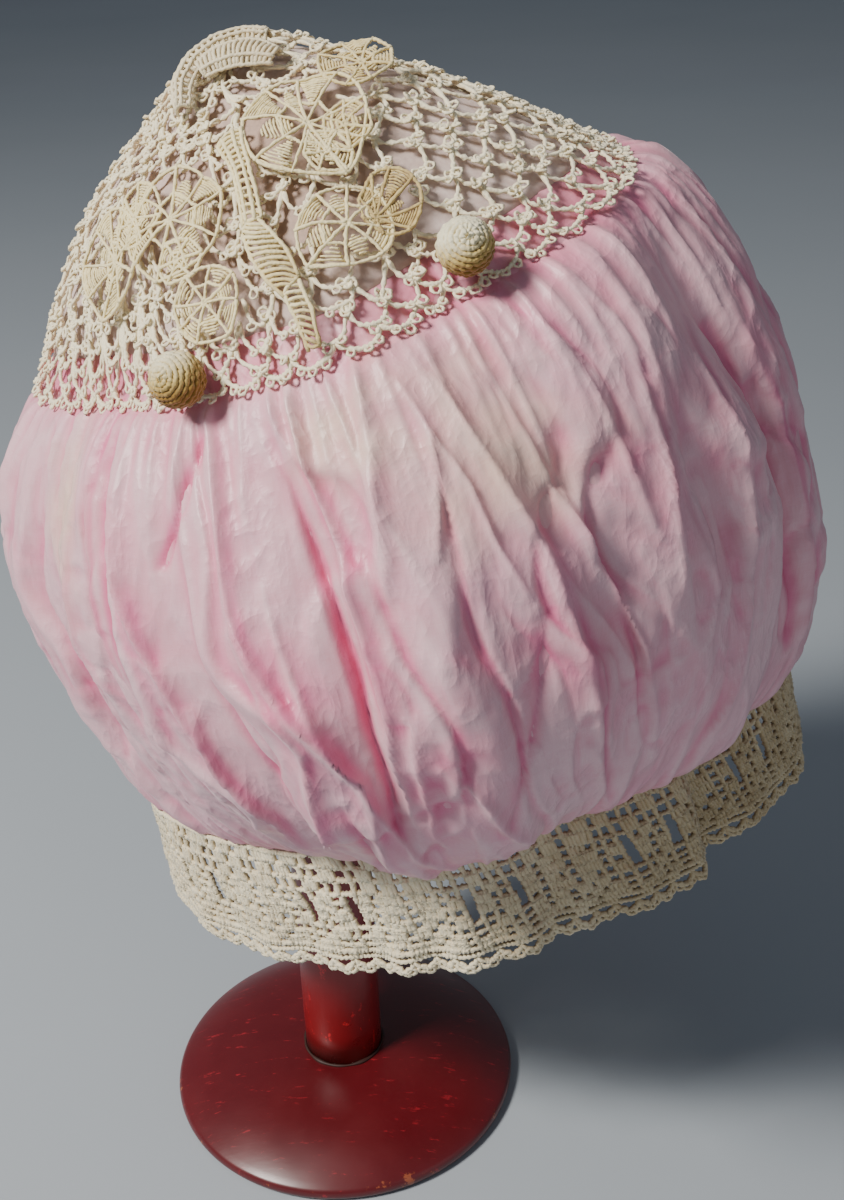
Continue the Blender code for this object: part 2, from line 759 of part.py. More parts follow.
def add_ball(name, place):
    """Crochet-covered ball button, sewn on the lace near its edge."""
    azimuth, share = place
    lift = TRIM_SEAT + BALL_DIAMETER / 2
    bpy.ops.mesh.primitive_uv_sphere_add(segments=16, ring_count=8, radius=BALL_DIAMETER / 2)
    obj = bpy.context.object
    obj.name = name
    centre = crown_point(azimuth, share, lift)
    obj.location = tuple(centre)
    finish(obj, BALL_ECRU, 0.85)


for old in list(bpy.data.objects):
    bpy.data.objects.remove(old)
MODEL = bpy.data.collections.new("lace_cap_on_stand")
bpy.context.scene.collection.children.link(MODEL)

add_stand()
add_lining()
add_puff()
add_crown_lace()
add_band()
add_applique("bow_right", RIGHT_WING, WING_REACH, RIGHT_WING_PLACE, RIGHT_WHEELS, BOW_WALL)
add_applique("bow_left", LEFT_WING, WING_REACH, LEFT_WING_PLACE, LEFT_WHEELS, BOW_WALL)
add_applique("bow_knot", KNOT, KNOT_REACH, KNOT_PLACE, (), KNOT_WALL)
add_applique("bow_tail", TAIL, TAIL_REACH, TAIL_PLACE, (), BOW_WALL)
add_leaf()
add_ball("ball_button_right", RIGHT_BALL)
add_ball("ball_button_left", LEFT_BALL)
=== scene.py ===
import math

import bpy
import numpy as np
from mathutils import Matrix


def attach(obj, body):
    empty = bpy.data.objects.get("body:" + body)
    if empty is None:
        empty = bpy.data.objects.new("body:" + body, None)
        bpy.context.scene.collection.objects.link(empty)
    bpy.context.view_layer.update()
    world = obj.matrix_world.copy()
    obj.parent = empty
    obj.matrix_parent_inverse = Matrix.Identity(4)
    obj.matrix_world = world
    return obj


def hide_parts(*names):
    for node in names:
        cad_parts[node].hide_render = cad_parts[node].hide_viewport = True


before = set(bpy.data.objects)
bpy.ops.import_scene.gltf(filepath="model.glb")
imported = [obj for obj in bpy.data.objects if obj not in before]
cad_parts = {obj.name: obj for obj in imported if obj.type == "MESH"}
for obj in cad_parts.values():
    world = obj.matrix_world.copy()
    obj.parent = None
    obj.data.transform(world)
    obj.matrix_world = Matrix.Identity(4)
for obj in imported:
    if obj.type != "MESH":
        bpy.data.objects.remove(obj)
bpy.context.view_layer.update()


# The cap is seen from a little above its own height, looking down at it from the front. A broad
# soft light stands at the upper left and a weak one at the right, as by a window.


def build(name, points, faces, smooth=True):
    """Mesh object at the origin from an array of points and arrays of faces, one array for each
    number of corners."""
    mesh = bpy.data.meshes.new(name)
    points = np.asarray(points, dtype=np.float32).reshape(-1, 3)
    corners = np.concatenate([np.asarray(part, dtype=np.int32).ravel() for part in faces])
    counts = np.concatenate([np.full(len(part), np.shape(part)[1], dtype=np.int32) for part in faces])
    mesh.vertices.add(len(points))
    mesh.vertices.foreach_set("co", points.ravel())
    mesh.loops.add(len(corners))
    mesh.loops.foreach_set("vertex_index", corners)
    mesh.polygons.add(len(counts))
    mesh.polygons.foreach_set("loop_start", np.concatenate(((0,), np.cumsum(counts)[:-1])).astype(np.int32))
    mesh.polygons.foreach_set("use_smooth", np.full(len(counts), smooth))
    mesh.update(calc_edges=True)
    mesh.validate()
    obj = bpy.data.objects.new(name, mesh)
    bpy.context.scene.collection.objects.link(obj)
    return obj


def shader_of(name):
    """New material with its node tree, its Principled shader and a maker of further nodes."""
    material = bpy.data.materials.new(name)
    material.use_nodes = True
    tree = material.node_tree
    shader = tree.nodes["Principled BSDF"]

    def node(kind, **inputs):
        made = tree.nodes.new(kind)
        for key, value in inputs.items():
            socket = made.inputs[int(key[1:])] if key[0] == "i" and key[1:].isdigit() else made.inputs[key]
            if isinstance(value, bpy.types.NodeSocket):
                tree.links.new(value, socket)
            else:
                socket.default_value = value
        return made

    return material, tree, shader, node


def mixed(tree, node, factor, first, second, kind="MIX"):
    """Colour mix of two colours or sockets, by a factor or socket."""
    mix = tree.nodes.new("ShaderNodeMix")
    mix.data_type = "RGBA"
    mix.blend_type = kind
    for socket, value in ((mix.inputs[0], factor), (mix.inputs[6], first), (mix.inputs[7], second)):
        if isinstance(value, bpy.types.NodeSocket):
            tree.links.new(value, socket)
        else:
            socket.default_value = value
    return mix.outputs[2]


def ramp(tree, value, *stops):
    """Colour ramp of a socket through stops of (place, colour)."""
    made = tree.nodes.new("ShaderNodeValToRGB")
    tree.links.new(value, made.inputs[0])
    elements = made.color_ramp.elements
    while len(elements) < len(stops):
        elements.new(0.5)
    for element, (place, colour) in zip(elements, stops):
        element.position = place
        element.color = colour
    return made.outputs[0]


def grey(value):
    """Colour of one brightness."""
    return (value, value, value, 1.0)


floor_reach = 6.0
floor = build(
    "floor",
    np.array(((-1, -1, 0), (1, -1, 0), (1, 1, 0), (-1, 1, 0))) * floor_reach - (0, 0, 0.0002),
    [np.array([[0, 1, 2, 3]])],
    smooth=False,
)
material, tree, shader, node = shader_of("pale_floor")
place = node("ShaderNodeTexCoord").outputs["Object"]
cloudy = node("ShaderNodeTexNoise", Vector=place, Scale=2.2, Detail=3.0)
tree.links.new(
    mixed(tree, node, cloudy.outputs[0], (0.36, 0.40, 0.44, 1.0), (0.41, 0.45, 0.49, 1.0)),
    shader.inputs["Base Color"],
)
shader.inputs["Roughness"].default_value = 0.85
floor.data.materials.append(material)

world = bpy.data.worlds.new("soft_room")
world.use_nodes = True
world.node_tree.nodes["Background"].inputs[0].default_value = (0.80, 0.88, 1.0, 1.0)
world.node_tree.nodes["Background"].inputs[1].default_value = 0.17
bpy.context.scene.world = world


def add_light(name, place, aim, size, power, colour):
    """Square soft light at a place, turned to its aim."""
    lamp = bpy.data.lights.new(name, "AREA")
    lamp.shape = "SQUARE"
    lamp.size = size
    lamp.energy = power
    lamp.color = colour
    obj = bpy.data.objects.new(name, lamp)
    away = np.array(place) - np.array(aim)
    away = away / np.linalg.norm(away)
    side = np.cross((0.0, 0.0, 1.0), away)
    side = side / np.linalg.norm(side)
    up = np.cross(away, side)
    turn = np.eye(4)
    turn[:3, 0], turn[:3, 1], turn[:3, 2], turn[:3, 3] = side, up, away, place
    obj.matrix_world = Matrix(turn.tolist())
    bpy.context.scene.collection.objects.link(obj)


add_light("window", (-0.98, -0.62, 1.38), (0.02, 0.0, 0.25), 0.36, 42.0, (1.0, 0.96, 0.90))
add_light("fill", (1.3, -1.0, 0.8), (0.0, 0.0, 0.22), 1.4, 2.2, (0.90, 0.95, 1.0))

camera_place = (0.0355, -0.4264, 0.430)
camera_pitch = math.radians(28.06)
camera_roll = math.radians(2.0)
ahead = np.array((0.0, math.cos(camera_pitch), -math.sin(camera_pitch)))
below = np.array((0.0, -math.sin(camera_pitch), -math.cos(camera_pitch)))
level = np.array((1.0, 0.0, 0.0))
right = math.cos(camera_roll) * level + math.sin(camera_roll) * below
down = -math.sin(camera_roll) * level + math.cos(camera_roll) * below
lens = bpy.data.cameras.new("camera")
lens.lens = 45.0
lens.sensor_width = 36.0
lens.clip_start = 0.01
camera = bpy.data.objects.new("camera", lens)
turn = np.eye(4)
turn[:3, 0], turn[:3, 1], turn[:3, 2], turn[:3, 3] = right, -down, -ahead, camera_place
camera.matrix_world = Matrix(turn.tolist())
bpy.context.scene.collection.objects.link(camera)
bpy.context.scene.camera = camera


# Turned wood in three pieces: a low domed base with a rounded rim, a plain post glued into it,
# and a ball for a head. It is painted red, darker and duller on the base, which has old scratches
# and chips at its rim. A ring of old glue lies round the post's foot.

base_reach = 0.0635
base_rim = 0.0055
base_height = 0.0150
post_reach = 0.01425
head_reach = 0.034
head_height = 0.3372
joint_gap = 0.0003


def turned(name, radii, heights, sides=160):
    """Turned form: each point of the profile is carried round the upright axis, and the ends of
    the profile on the axis are closed by fans."""
    angle = np.arange(sides) * 2 * np.pi / sides
    inner = slice(1, len(radii) - 1)
    rings = np.stack(
        (
            radii[inner, None] * np.cos(angle),
            radii[inner, None] * np.sin(angle),
            np.repeat(heights[inner, None], sides, axis=1),
        ),
        axis=-1,
    )
    ends = np.array(((0.0, 0.0, heights[0]), (0.0, 0.0, heights[-1])))
    index = np.arange(rings.shape[0] * sides).reshape(-1, sides)
    beside = np.roll(index, -1, axis=1)
    quads = np.stack((index[:-1], index[1:], beside[1:], beside[:-1]), axis=-1).reshape(-1, 4)
    top = index.size
    fans = np.concatenate(
        (
            np.stack((np.full(sides, top), index[0], beside[0]), axis=-1),
            np.stack((np.full(sides, top + 1), beside[-1], index[-1]), axis=-1),
        )
    )
    return build(name, np.concatenate((rings.reshape(-1, 3), ends)), [quads, fans])


def painted(name, deep, bright, rough, wear):
    """Old paint on wood: two reds in soft clouds, fine scratches that show a paler red, chips down
    to orange-brown primer, more of them at the rim, and a dull bloom of dust."""
    material, tree, shader, node = shader_of(name)
    place = node("ShaderNodeTexCoord").outputs["Object"]
    clouds = node("ShaderNodeTexNoise", Vector=place, Scale=34.0, Detail=5.0, Roughness=0.6)
    colour = mixed(tree, node, clouds.outputs[0], deep, bright)
    stretch = node("ShaderNodeMapping", Vector=place, Scale=(1.0, 4.5, 1.0), Rotation=(0.0, 0.0, 0.6))
    marks = node("ShaderNodeTexNoise", Vector=stretch.outputs[0], Scale=120.0, Detail=6.0, Roughness=0.75)
    scratch = ramp(tree, marks.outputs[0], (0.61, grey(0.0)), (0.65, grey(1.0)))
    colour = mixed(tree, node, scratch, colour, tuple(2.2 * c for c in bright[:3]) + (1.0,))
    split = node("ShaderNodeSeparateXYZ", Vector=place)
    across = node("ShaderNodeCombineXYZ", X=split.outputs[0], Y=split.outputs[1])
    reach = node("ShaderNodeVectorMath", i0=across.outputs[0])
    reach.operation = "LENGTH"
    rim = node("ShaderNodeMapRange", Value=reach.outputs["Value"])
    rim.inputs[1].default_value = base_reach - 0.0035
    rim.inputs[2].default_value = base_reach - 0.0004
    specks = node("ShaderNodeTexNoise", Vector=place, Scale=95.0, Detail=6.0, Roughness=0.75)
    sparse = node("ShaderNodeMath", i0=rim.outputs[0], i1=0.16)
    sparse.operation = "MULTIPLY"
    worn = node("ShaderNodeMath", i0=specks.outputs[0], i1=sparse.outputs[0])
    chips = ramp(tree, worn.outputs[0], (wear, grey(0.0)), (wear + 0.02, grey(1.0)))
    colour = mixed(tree, node, chips, colour, (0.30, 0.075, 0.03, 1.0))
    tree.links.new(colour, shader.inputs["Base Color"])
    dull = node("ShaderNodeTexNoise", Vector=place, Scale=70.0, Detail=4.0)
    finish = node("ShaderNodeMapRange", Value=dull.outputs[0])
    finish.inputs[3].default_value = rough - 0.10
    finish.inputs[4].default_value = rough + 0.14
    tree.links.new(finish.outputs[0], shader.inputs["Roughness"])
    shader.inputs["Specular IOR Level"].default_value = 0.5
    shader.inputs["Coat Weight"].default_value = 0.30
    shader.inputs["Coat Roughness"].default_value = 0.30
    bump = node("ShaderNodeBump", Height=mixed(tree, node, 0.4, marks.outputs[0], clouds.outputs[0]), Strength=0.10)
    bump.inputs["Distance"].default_value = 0.0006
    tree.links.new(bump.outputs[0], shader.inputs["Normal"])
    return material


fall = np.linspace(0.0, 1.0, 26)
lip = np.radians(np.linspace(58, -82, 14))
lip_out = base_reach - base_rim / 2 * (1 - np.cos(lip))
lip_up = base_rim / 2 * (1 + np.sin(lip))
dome_out = post_reach + fall * (lip_out[0] - post_reach)
dome_up = base_height - (base_height - lip_up[0]) * fall**2.8
radii = np.concatenate(((0.0, 0.4 * post_reach), dome_out, lip_out[1:], (0.05, 0.0)))
heights = np.concatenate(((base_height, base_height), dome_up, lip_up[1:], (0.0, 0.0)))
stand_base = turned("stand_base_turned", radii, heights)
stand_base.data.materials.append(
    painted("worn_dark_red_paint", (0.070, 0.0040, 0.0070, 1.0), (0.135, 0.0065, 0.0100, 1.0), 0.34, 0.74)
)

foot = base_height + joint_gap
seat = head_height - math.sqrt(head_reach**2 - post_reach**2)
ease = np.radians(np.linspace(90, 0, 6))
rise = np.linspace(seat - 0.0012, foot + 0.0002, 24)
radii = np.concatenate(((0.0,), post_reach - 0.0008 * (1 - np.cos(ease)), np.full(24, post_reach), (0.0,)))
heights = np.concatenate(((seat - joint_gap,), seat - joint_gap - 0.0008 * (1 - np.sin(ease)), rise, (foot,)))
stand_post = turned("stand_post_turned", radii, heights, 96)
stand_post.data.materials.append(
    painted("satin_red_paint", (0.19, 0.0060, 0.0085, 1.0), (0.27, 0.0085, 0.0110, 1.0), 0.28, 0.80)
)

bend = np.linspace(0.0, math.pi - math.asin(post_reach / head_reach), 48)
radii = np.concatenate((head_reach * np.sin(bend), (0.0,)))
heights = np.concatenate((head_height + head_reach * np.cos(bend), (seat,)))
stand_head = turned("stand_head_turned", radii, heights, 96)
stand_head.data.materials.append(
    painted("dull_red_paint", (0.12, 0.0060, 0.0070, 1.0), (0.17, 0.0080, 0.0090, 1.0), 0.42, 0.80)
)

bead = np.radians(np.linspace(0, 180, 9))
radii = np.concatenate(((0.0,), post_reach + 0.0011 * np.sin(bead[1:-1] / 2 + np.pi / 2) * np.sin(bead[1:-1]), (0.0,)))
glue_up = base_height + 0.0009 * (1 + np.cos(bead)) / 2
angle = np.linspace(0, 2 * np.pi, 97)[:-1]
lump = 1 + 0.25 * np.sin(5 * angle) + 0.18 * np.sin(11 * angle + 1.0)
ring_turn = np.linspace(0, 2 * np.pi, 11)[:-1]
ring_out = post_reach + 0.00035 + 0.00065 * lump[:, None] * np.cos(ring_turn)
ring_up = base_height + 0.0003 + 0.00055 * lump[:, None] * np.sin(ring_turn)
ring = np.stack(
    (ring_out * np.cos(angle)[:, None], ring_out * np.sin(angle)[:, None], ring_up), axis=-1
)
index = np.arange(ring.shape[0] * ring.shape[1]).reshape(ring.shape[:2])
faces = np.stack(
    (index, np.roll(index, -1, 0), np.roll(np.roll(index, -1, 0), -1, 1), np.roll(index, -1, 1)), axis=-1
).reshape(-1, 4)
glue_ring = build("stand_glue_ring", ring, [faces])
material, tree, shader, node = shader_of("old_glue")
place = node("ShaderNodeTexCoord").outputs["Object"]
grime = node("ShaderNodeTexNoise", Vector=place, Scale=400.0, Detail=3.0)
tree.links.new(
    mixed(tree, node, grime.outputs[0], (0.020, 0.008, 0.006, 1.0), (0.055, 0.016, 0.011, 1.0)),
    shader.inputs["Base Color"],
)
shader.inputs["Roughness"].default_value = 0.6
glue_ring.data.materials.append(material)

for piece, cad_node in ((stand_base, "stand_base"), (stand_post, "stand_post"), (stand_head, "stand_head")):
    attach(piece, "root")
    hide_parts(cad_node)
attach(glue_ring, "root")


# Thin greyish-pink cloth laid over the stand's head and under the lace. It is pulled smooth to the
# crown's edge, with faint creases, and shows through the holes of the net. Under the bow it is
# painted brown, as the bow's shadow together with staining.


def table(columns, *rows):
    """Rows of numbers with a name for each column."""
    return np.array(list(rows), dtype=[(name, float) for name in columns.split()])


def around(rows, column, azimuth):
    """Value of a column at any azimuth: a closed curve through the rows, cubic between them, with
    the slope at a row taken from its two neighbours."""
    knots = rows["azimuth"]
    knots = np.concatenate((knots[-2:] - 360, knots, knots[:2] + 360))
    values = rows[column]
    values = np.concatenate((values[-2:], values, values[:2]))
    slopes = (values[2:] - values[:-2]) / (knots[2:] - knots[:-2])
    knots, values = knots[1:-1], values[1:-1]
    angle = np.mod(azimuth, 360)
    low = np.clip(np.searchsorted(knots, angle, side="right") - 1, 0, len(knots) - 2)
    span = knots[low + 1] - knots[low]
    t = (angle - knots[low]) / span
    start = (2 * t**3 - 3 * t**2 + 1) * values[low] + (t**3 - 2 * t**2 + t) * span * slopes[low]
    end = (3 * t**2 - 2 * t**3) * values[low + 1] + (t**3 - t**2) * span * slopes[low + 1]
    return start + end


crown_edge = table(
    "azimuth reach fullness",
    (0, 0.96, 0.05),
    (30, 0.96, 0.03),
    (60, 0.95, 0.02),
    (90, 0.94, 0.01),
    (135, 0.95, 0.02),
    (165, 0.97, 0.08),
    (180, 0.98, 0.12),
    (192, 0.91, 0.15),
    (207, 0.85, 0.16),
    (225, 0.85, 0.15),
    (242, 0.93, 0.14),
    (260, 0.99, 0.14),
    (278, 1.07, 0.15),
    (296, 1.00, 0.16),
    (314, 1.02, 0.17),
    (338, 1.02, 0.13),
)
crown_width = 0.184
crown_depth = 0.155
crown_rise = 0.065
crown_tilt = math.radians(20.6)
lining_wall = 0.0010
lace_lift = lining_wall + 0.0014
lace_wall = 0.0016
seam = 1 - 0.0080 / (crown_width / 2)
seat_reach = head_reach + 0.0008
back = np.array((0.0, 1.0, 0.0))
crown_across = np.array((math.cos(crown_tilt), 0.0, math.sin(crown_tilt)))
crown_up = np.array((-math.sin(crown_tilt), 0.0, math.cos(crown_tilt)))
crown_centre = np.array((0.0, 0.0, head_height)) + crown_up * (seat_reach - crown_rise)


def oval(azimuth, width, depth):
    """Reach of an oval of that width and depth, from its middle."""
    turn = np.radians(azimuth)
    return width * depth / (2 * np.hypot(depth * np.cos(turn), width * np.sin(turn)))


def crown_inside(azimuth, share):
    """Crown's inner face: round on the stand's head, then straight down along the tangent to its
    edge, with a swell that is a half wave of the fall."""
    reach = oval(azimuth, crown_width, crown_depth) * around(crown_edge, "reach", azimuth)
    out = reach * share
    middle = crown_rise - seat_reach
    leave = np.arctan2(-middle, reach) + np.arccos(seat_reach / np.hypot(reach, middle))
    leave_out = seat_reach * np.cos(leave)
    leave_up = middle + seat_reach * np.sin(leave)
    drop = np.maximum((out - leave_out) / (reach - leave_out), 0)
    swell = crown_rise * around(crown_edge, "fullness", azimuth) * np.sin(np.pi * drop)
    on_head = middle + np.sqrt(np.maximum(seat_reach**2 - out**2, 0))
    up = np.where(out < leave_out, on_head, leave_up * (1 - drop) + swell)
    turn = np.radians(azimuth)
    across = (out * np.cos(turn))[..., None] * crown_across
    return crown_centre + across + (out * np.sin(turn))[..., None] * back + up[..., None] * crown_up


def crown_frame(azimuth, share):
    """Point on the crown's inner face and the direction square to it, from two small steps."""
    azimuth, share = np.broadcast_arrays(np.asarray(azimuth, float), np.asarray(share, float))
    near = np.maximum(share, 0.02)
    fall = crown_inside(azimuth, near + 0.005) - crown_inside(azimuth, near - 0.005)
    along = crown_inside(azimuth + 0.5, near) - crown_inside(azimuth - 0.5, near)
    square = np.cross(fall, along)
    square = square / np.linalg.norm(square, axis=-1, keepdims=True)
    square = np.where((share < 0.02)[..., None], crown_up, square)
    return crown_inside(azimuth, share), square


def crown_point(azimuth, share, lift=0.0):
    """Point above the crown's inner face, lifted square to it."""
    point, square = crown_frame(azimuth, share)
    return point + np.asarray(lift, float)[..., None] * square


def rough(points, cell, seed):
    """Smooth random field from -1 to 1: random heights on a lattice of cells, blended along each
    axis by a curve with level ends."""
    spot = points / np.asarray(cell, float)
    corner = np.floor(spot).astype(np.int64)
    part = spot - corner
    part = part * part * (3 - 2 * part)
    total = np.zeros(points.shape[:-1])
    for step in range(8):
        shift = np.array((step & 1, (step >> 1) & 1, (step >> 2) & 1))
        mix = (corner + shift) @ np.array((73856093, 19349663, 83492791)) + seed * 374761393
        mix = (mix ^ (mix >> 13)) * 1274126177 & 0x7FFFFFFF
        mix = (mix ^ (mix >> 15)) * 668265263 & 0x7FFFFFFF
        height = (mix >> 7 & 0xFFFF) / 32767.5 - 1
        total += height * np.prod(np.where(shift == 1, part, 1 - part), axis=-1)
    return total


def ring_quads(rows, columns):
    """Quads of a strip of closed rings, the first ring uppermost, facing out."""
    index = np.arange(rows * columns).reshape(rows, columns)
    beside = np.roll(index, -1, axis=1)
    return np.stack((index[:-1], index[1:], beside[1:], beside[:-1]), axis=-1).reshape(-1, 4)


columns, rows = 144, 46
azimuth = np.arange(columns) * 360 / columns
shares = (seam - 0.001) * np.linspace(0.03, 1.0, rows)
point, square = crown_frame(azimuth[None, :], shares[:, None])
pull = 0.00035 * rough(point, (0.012, 0.012, 0.02), 3) + 0.0002 * rough(point, 0.005, 4)
outer = point + square * (lining_wall + pull)[..., None]
inner = point[::-1] + square[::-1] * 0.0001
tops = np.stack((crown_point(0.0, 0.0, lining_wall), crown_point(0.0, 0.0, 0.0001)))
points = np.concatenate((outer.reshape(-1, 3), inner.reshape(-1, 3), tops))
last = 2 * rows * columns
ring_index = np.arange(columns)
caps = np.concatenate(
    (
        np.stack((np.full(columns, last), ring_index, np.roll(ring_index, -1)), axis=-1),
        np.stack(
            (
                np.full(columns, last + 1),
                np.roll(ring_index, -1) + (2 * rows - 1) * columns,
                ring_index + (2 * rows - 1) * columns,
            ),
            axis=-1,
        ),
    )
)
lining = build("crown_lining_cloth", points, [ring_quads(2 * rows, columns), caps])
material, tree, shader, node = shader_of("greyish_pink_lining")
place = node("ShaderNodeTexCoord").outputs["Object"]
patch = node("ShaderNodeTexNoise", Vector=place, Scale=26.0, Detail=4.0)
weave = node("ShaderNodeTexNoise", Vector=place, Scale=900.0, Detail=2.0)
colour = mixed(tree, node, patch.outputs[0], (0.60, 0.46, 0.43, 1.0), (0.72, 0.61, 0.58, 1.0))
# Painted shadow under the bow, together with brown staining: darker towards the bow's middle.
bow_middle = node("ShaderNodeVectorMath", i0=place, i1=tuple(crown_point(275.0, 0.60)))
bow_middle.operation = "DISTANCE"
bow_shadow_and_stain = node("ShaderNodeMapRange", Value=bow_middle.outputs["Value"])
bow_shadow_and_stain.inputs[1].default_value = 0.020
bow_shadow_and_stain.inputs[2].default_value = 0.046
bow_shadow_and_stain.inputs[3].default_value = 0.65
bow_shadow_and_stain.inputs[4].default_value = 0.0
colour = mixed(tree, node, bow_shadow_and_stain.outputs[0], colour, (0.36, 0.22, 0.14, 1.0))
colour = mixed(tree, node, 0.25, colour, weave.outputs[0], "OVERLAY")
tree.links.new(colour, shader.inputs["Base Color"])
shader.inputs["Roughness"].default_value = 0.7
shader.inputs["Sheen Weight"].default_value = 0.15
bump = node("ShaderNodeBump", Height=weave.outputs[0], Strength=0.25)
bump.inputs["Distance"].default_value = 0.0003
tree.links.new(bump.outputs[0], shader.inputs["Normal"])
lining.data.materials.append(material)
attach(lining, "root")
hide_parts("crown_lining")


# One width of thin pink silk, gathered with small stitches to the crown above and to the band
# below, so that it stands full between them. It has crisp creases from storage. Its pink is
# painted deeper as shading in the valleys, along the shaded side of each crease and at the steps
# of the folds. It is deeper again near both edges, where the silk is doubled in the gathers: this is
# partly its own doubled colour and partly painted shading. Cream water stains lie near the top of
# the front.

cap_height = 0.1586
cap_lean = math.radians(13.9)
band_tilt = math.radians(10.6)
band_height = 0.044
band_width = 0.220
band_depth = 0.140
panels = 11
silk_wall = 0.0010
puff_fullness = 0.045
gathers = 18
band_across = np.array((math.cos(band_tilt), 0.0, math.sin(band_tilt)))
band_up = np.array((-math.sin(band_tilt), 0.0, math.cos(band_tilt)))
band_centre = crown_centre + cap_height * np.array((math.sin(cap_lean), 0.0, -math.cos(cap_lean)))
band_edge = table(
    "azimuth reach",
    (10, 1.04),
    (25, 1.12),
    (45, 1.11),
    (65, 1.10),
    (90, 1.07),
    (115, 1.07),
    (140, 1.07),
    (160, 0.99),
    (180, 1.00),
    (200, 0.93),
    (225, 0.91),
    (250, 0.93),
    (270, 0.93),
    (290, 0.83),
    (310, 0.85),
    (325, 0.85),
    (335, 0.75),
    (348, 0.85),
    (358, 0.93),
)
puff_form = table(
    "azimuth swell peak power",
    (0, 0.63, 0.45, 0.45),
    (45, 0.59, 0.50, 0.50),
    (90, 0.70, 0.55, 0.55),
    (135, 0.78, 0.55, 0.60),
    (165, 0.58, 0.44, 0.65),
    (195, 0.50, 0.42, 0.95),
    (225, 0.74, 0.43, 0.85),
    (270, 1.00, 0.58, 0.60),
    (315, 0.84, 0.50, 0.52),
    (340, 0.80, 0.62, 0.44),
)
broad_folds = table(
    "crown band height width start end",
    (8, 14, -0.09, 7, 0.00, 1.00),
    (27, 30, 0.07, 9, 0.00, 0.90),
    (46, 52, -0.10, 8, 0.05, 1.00),
    (66, 66, 0.08, 9, 0.00, 0.85),
    (88, 84, -0.10, 8, 0.00, 0.95),
    (108, 112, 0.08, 9, 0.10, 1.00),
    (126, 130, -0.10, 8, 0.00, 1.00),
    (150, 146, 0.07, 9, 0.00, 0.90),
    (170, 166, -0.08, 7, 0.05, 1.00),
    (190, 186, 0.05, 7, 0.00, 0.80),
    (204, 200, -0.07, 6, 0.00, 0.85),
    (220, 226, -0.09, 6, 0.00, 0.75),
    (229, 238, 0.06, 6, 0.00, 0.95),
    (238, 246, -0.07, 6, 0.15, 1.00),
    (247, 262, 0.07, 6, 0.20, 1.00),
    (266, 266, -0.11, 6, 0.00, 0.95),
    (277, 280, 0.06, 7, 0.00, 0.80),
    (291, 296, 0.08, 5, 0.05, 0.80),
    (299, 304, -0.10, 6, 0.00, 0.95),
    (309, 318, 0.06, 6, 0.10, 0.80),
    (316, 328, -0.09, 6, 0.00, 0.90),
    (328, 336, 0.05, 6, 0.10, 0.90),
    (336, 342, -0.10, 6, 0.00, 0.95),
    (344, 344, 0.09, 6, 0.05, 0.90),
)
# Crisp creases: share down where one starts and ends, its azimuth at four even steps between
# them, its height and half width in millimetres, and how much painted shading lies along its
# shaded side
crisp_creases = table(
    "start end first second third last height width dye",
    (0.02, 0.72, 265.5, 269.8, 269.6, 266.0, 2.1, 2.2, 0.55),
    (0.04, 0.80, 262.0, 266.0, 265.6, 263.0, -1.9, 2.6, 0.80),
    (0.03, 0.86, 250.0, 252.0, 261.5, 259.5, 1.9, 2.4, 0.70),
    (0.24, 0.90, 256.5, 258.4, 262.5, 266.0, 1.4, 1.8, 0.35),
    (0.30, 0.90, 251.0, 256.4, 255.0, 246.5, 1.6, 2.0, 0.75),
    (0.05, 0.64, 228.5, 231.6, 236.2, 238.5, 1.6, 2.0, 0.60),
    (0.03, 0.50, 219.0, 220.3, 221.6, 224.0, 1.6, 2.4, 0.75),
    (0.03, 0.55, 224.0, 225.5, 227.0, 229.0, -1.5, 3.4, 0.90),
    (0.20, 0.55, 212.5, 211.8, 211.2, 216.5, 1.2, 2.0, 0.50),
    (0.05, 0.76, 288.0, 292.6, 293.1, 295.0, 2.0, 2.6, 0.45),
    (0.10, 0.78, 296.0, 298.3, 304.3, 306.0, 1.6, 2.2, 0.15),
    (0.38, 0.80, 291.0, 286.6, 282.7, 277.5, -1.3, 4.2, 0.25),
    (0.03, 0.40, 306.0, 307.7, 307.8, 309.0, 1.1, 2.0, 0.15),
    (0.08, 0.50, 316.0, 313.8, 311.6, 310.5, 1.2, 2.2, 0.15),
    (0.20, 0.85, 336.5, 338.0, 339.0, 341.5, -2.3, 3.4, 1.00),
    (0.20, 0.85, 340.5, 341.5, 341.8, 344.0, 1.9, 2.6, 0.60),
    (0.20, 0.86, 326.5, 326.1, 323.0, 318.5, 1.5, 2.4, 0.15),
    (0.36, 0.62, 316.0, 316.3, 315.9, 314.0, 1.0, 2.0, 0.10),
    (0.56, 0.88, 273.0, 276.5, 278.2, 282.0, 1.4, 2.2, 0.20),
    (0.46, 0.80, 272.5, 270.9, 269.4, 268.5, 1.2, 1.8, 0.30),
    (0.46, 0.90, 238.0, 238.0, 241.0, 238.5, 1.6, 2.2, 0.80),
    (0.66, 0.93, 292.5, 295.0, 296.5, 299.0, 1.1, 2.0, 0.20),
    (0.03, 0.22, 249.0, 245.2, 242.3, 238.5, -1.4, 2.6, 0.70),
    (0.03, 0.26, 282.5, 283.9, 282.2, 279.5, 1.1, 1.8, 0.10),
    (0.08, 0.30, 277.5, 275.7, 274.8, 273.0, 1.0, 1.8, 0.10),
    (0.10, 0.36, 284.0, 286.5, 287.6, 289.5, 1.1, 1.6, 0.20),
    (0.62, 0.92, 258.0, 259.0, 257.0, 254.0, -1.4, 2.6, 0.55),
    (0.40, 0.72, 244.0, 246.0, 249.0, 250.0, -1.1, 3.0, 0.30),
    (0.30, 0.70, 300.0, 301.5, 303.0, 302.5, -1.1, 2.4, 0.15),
)


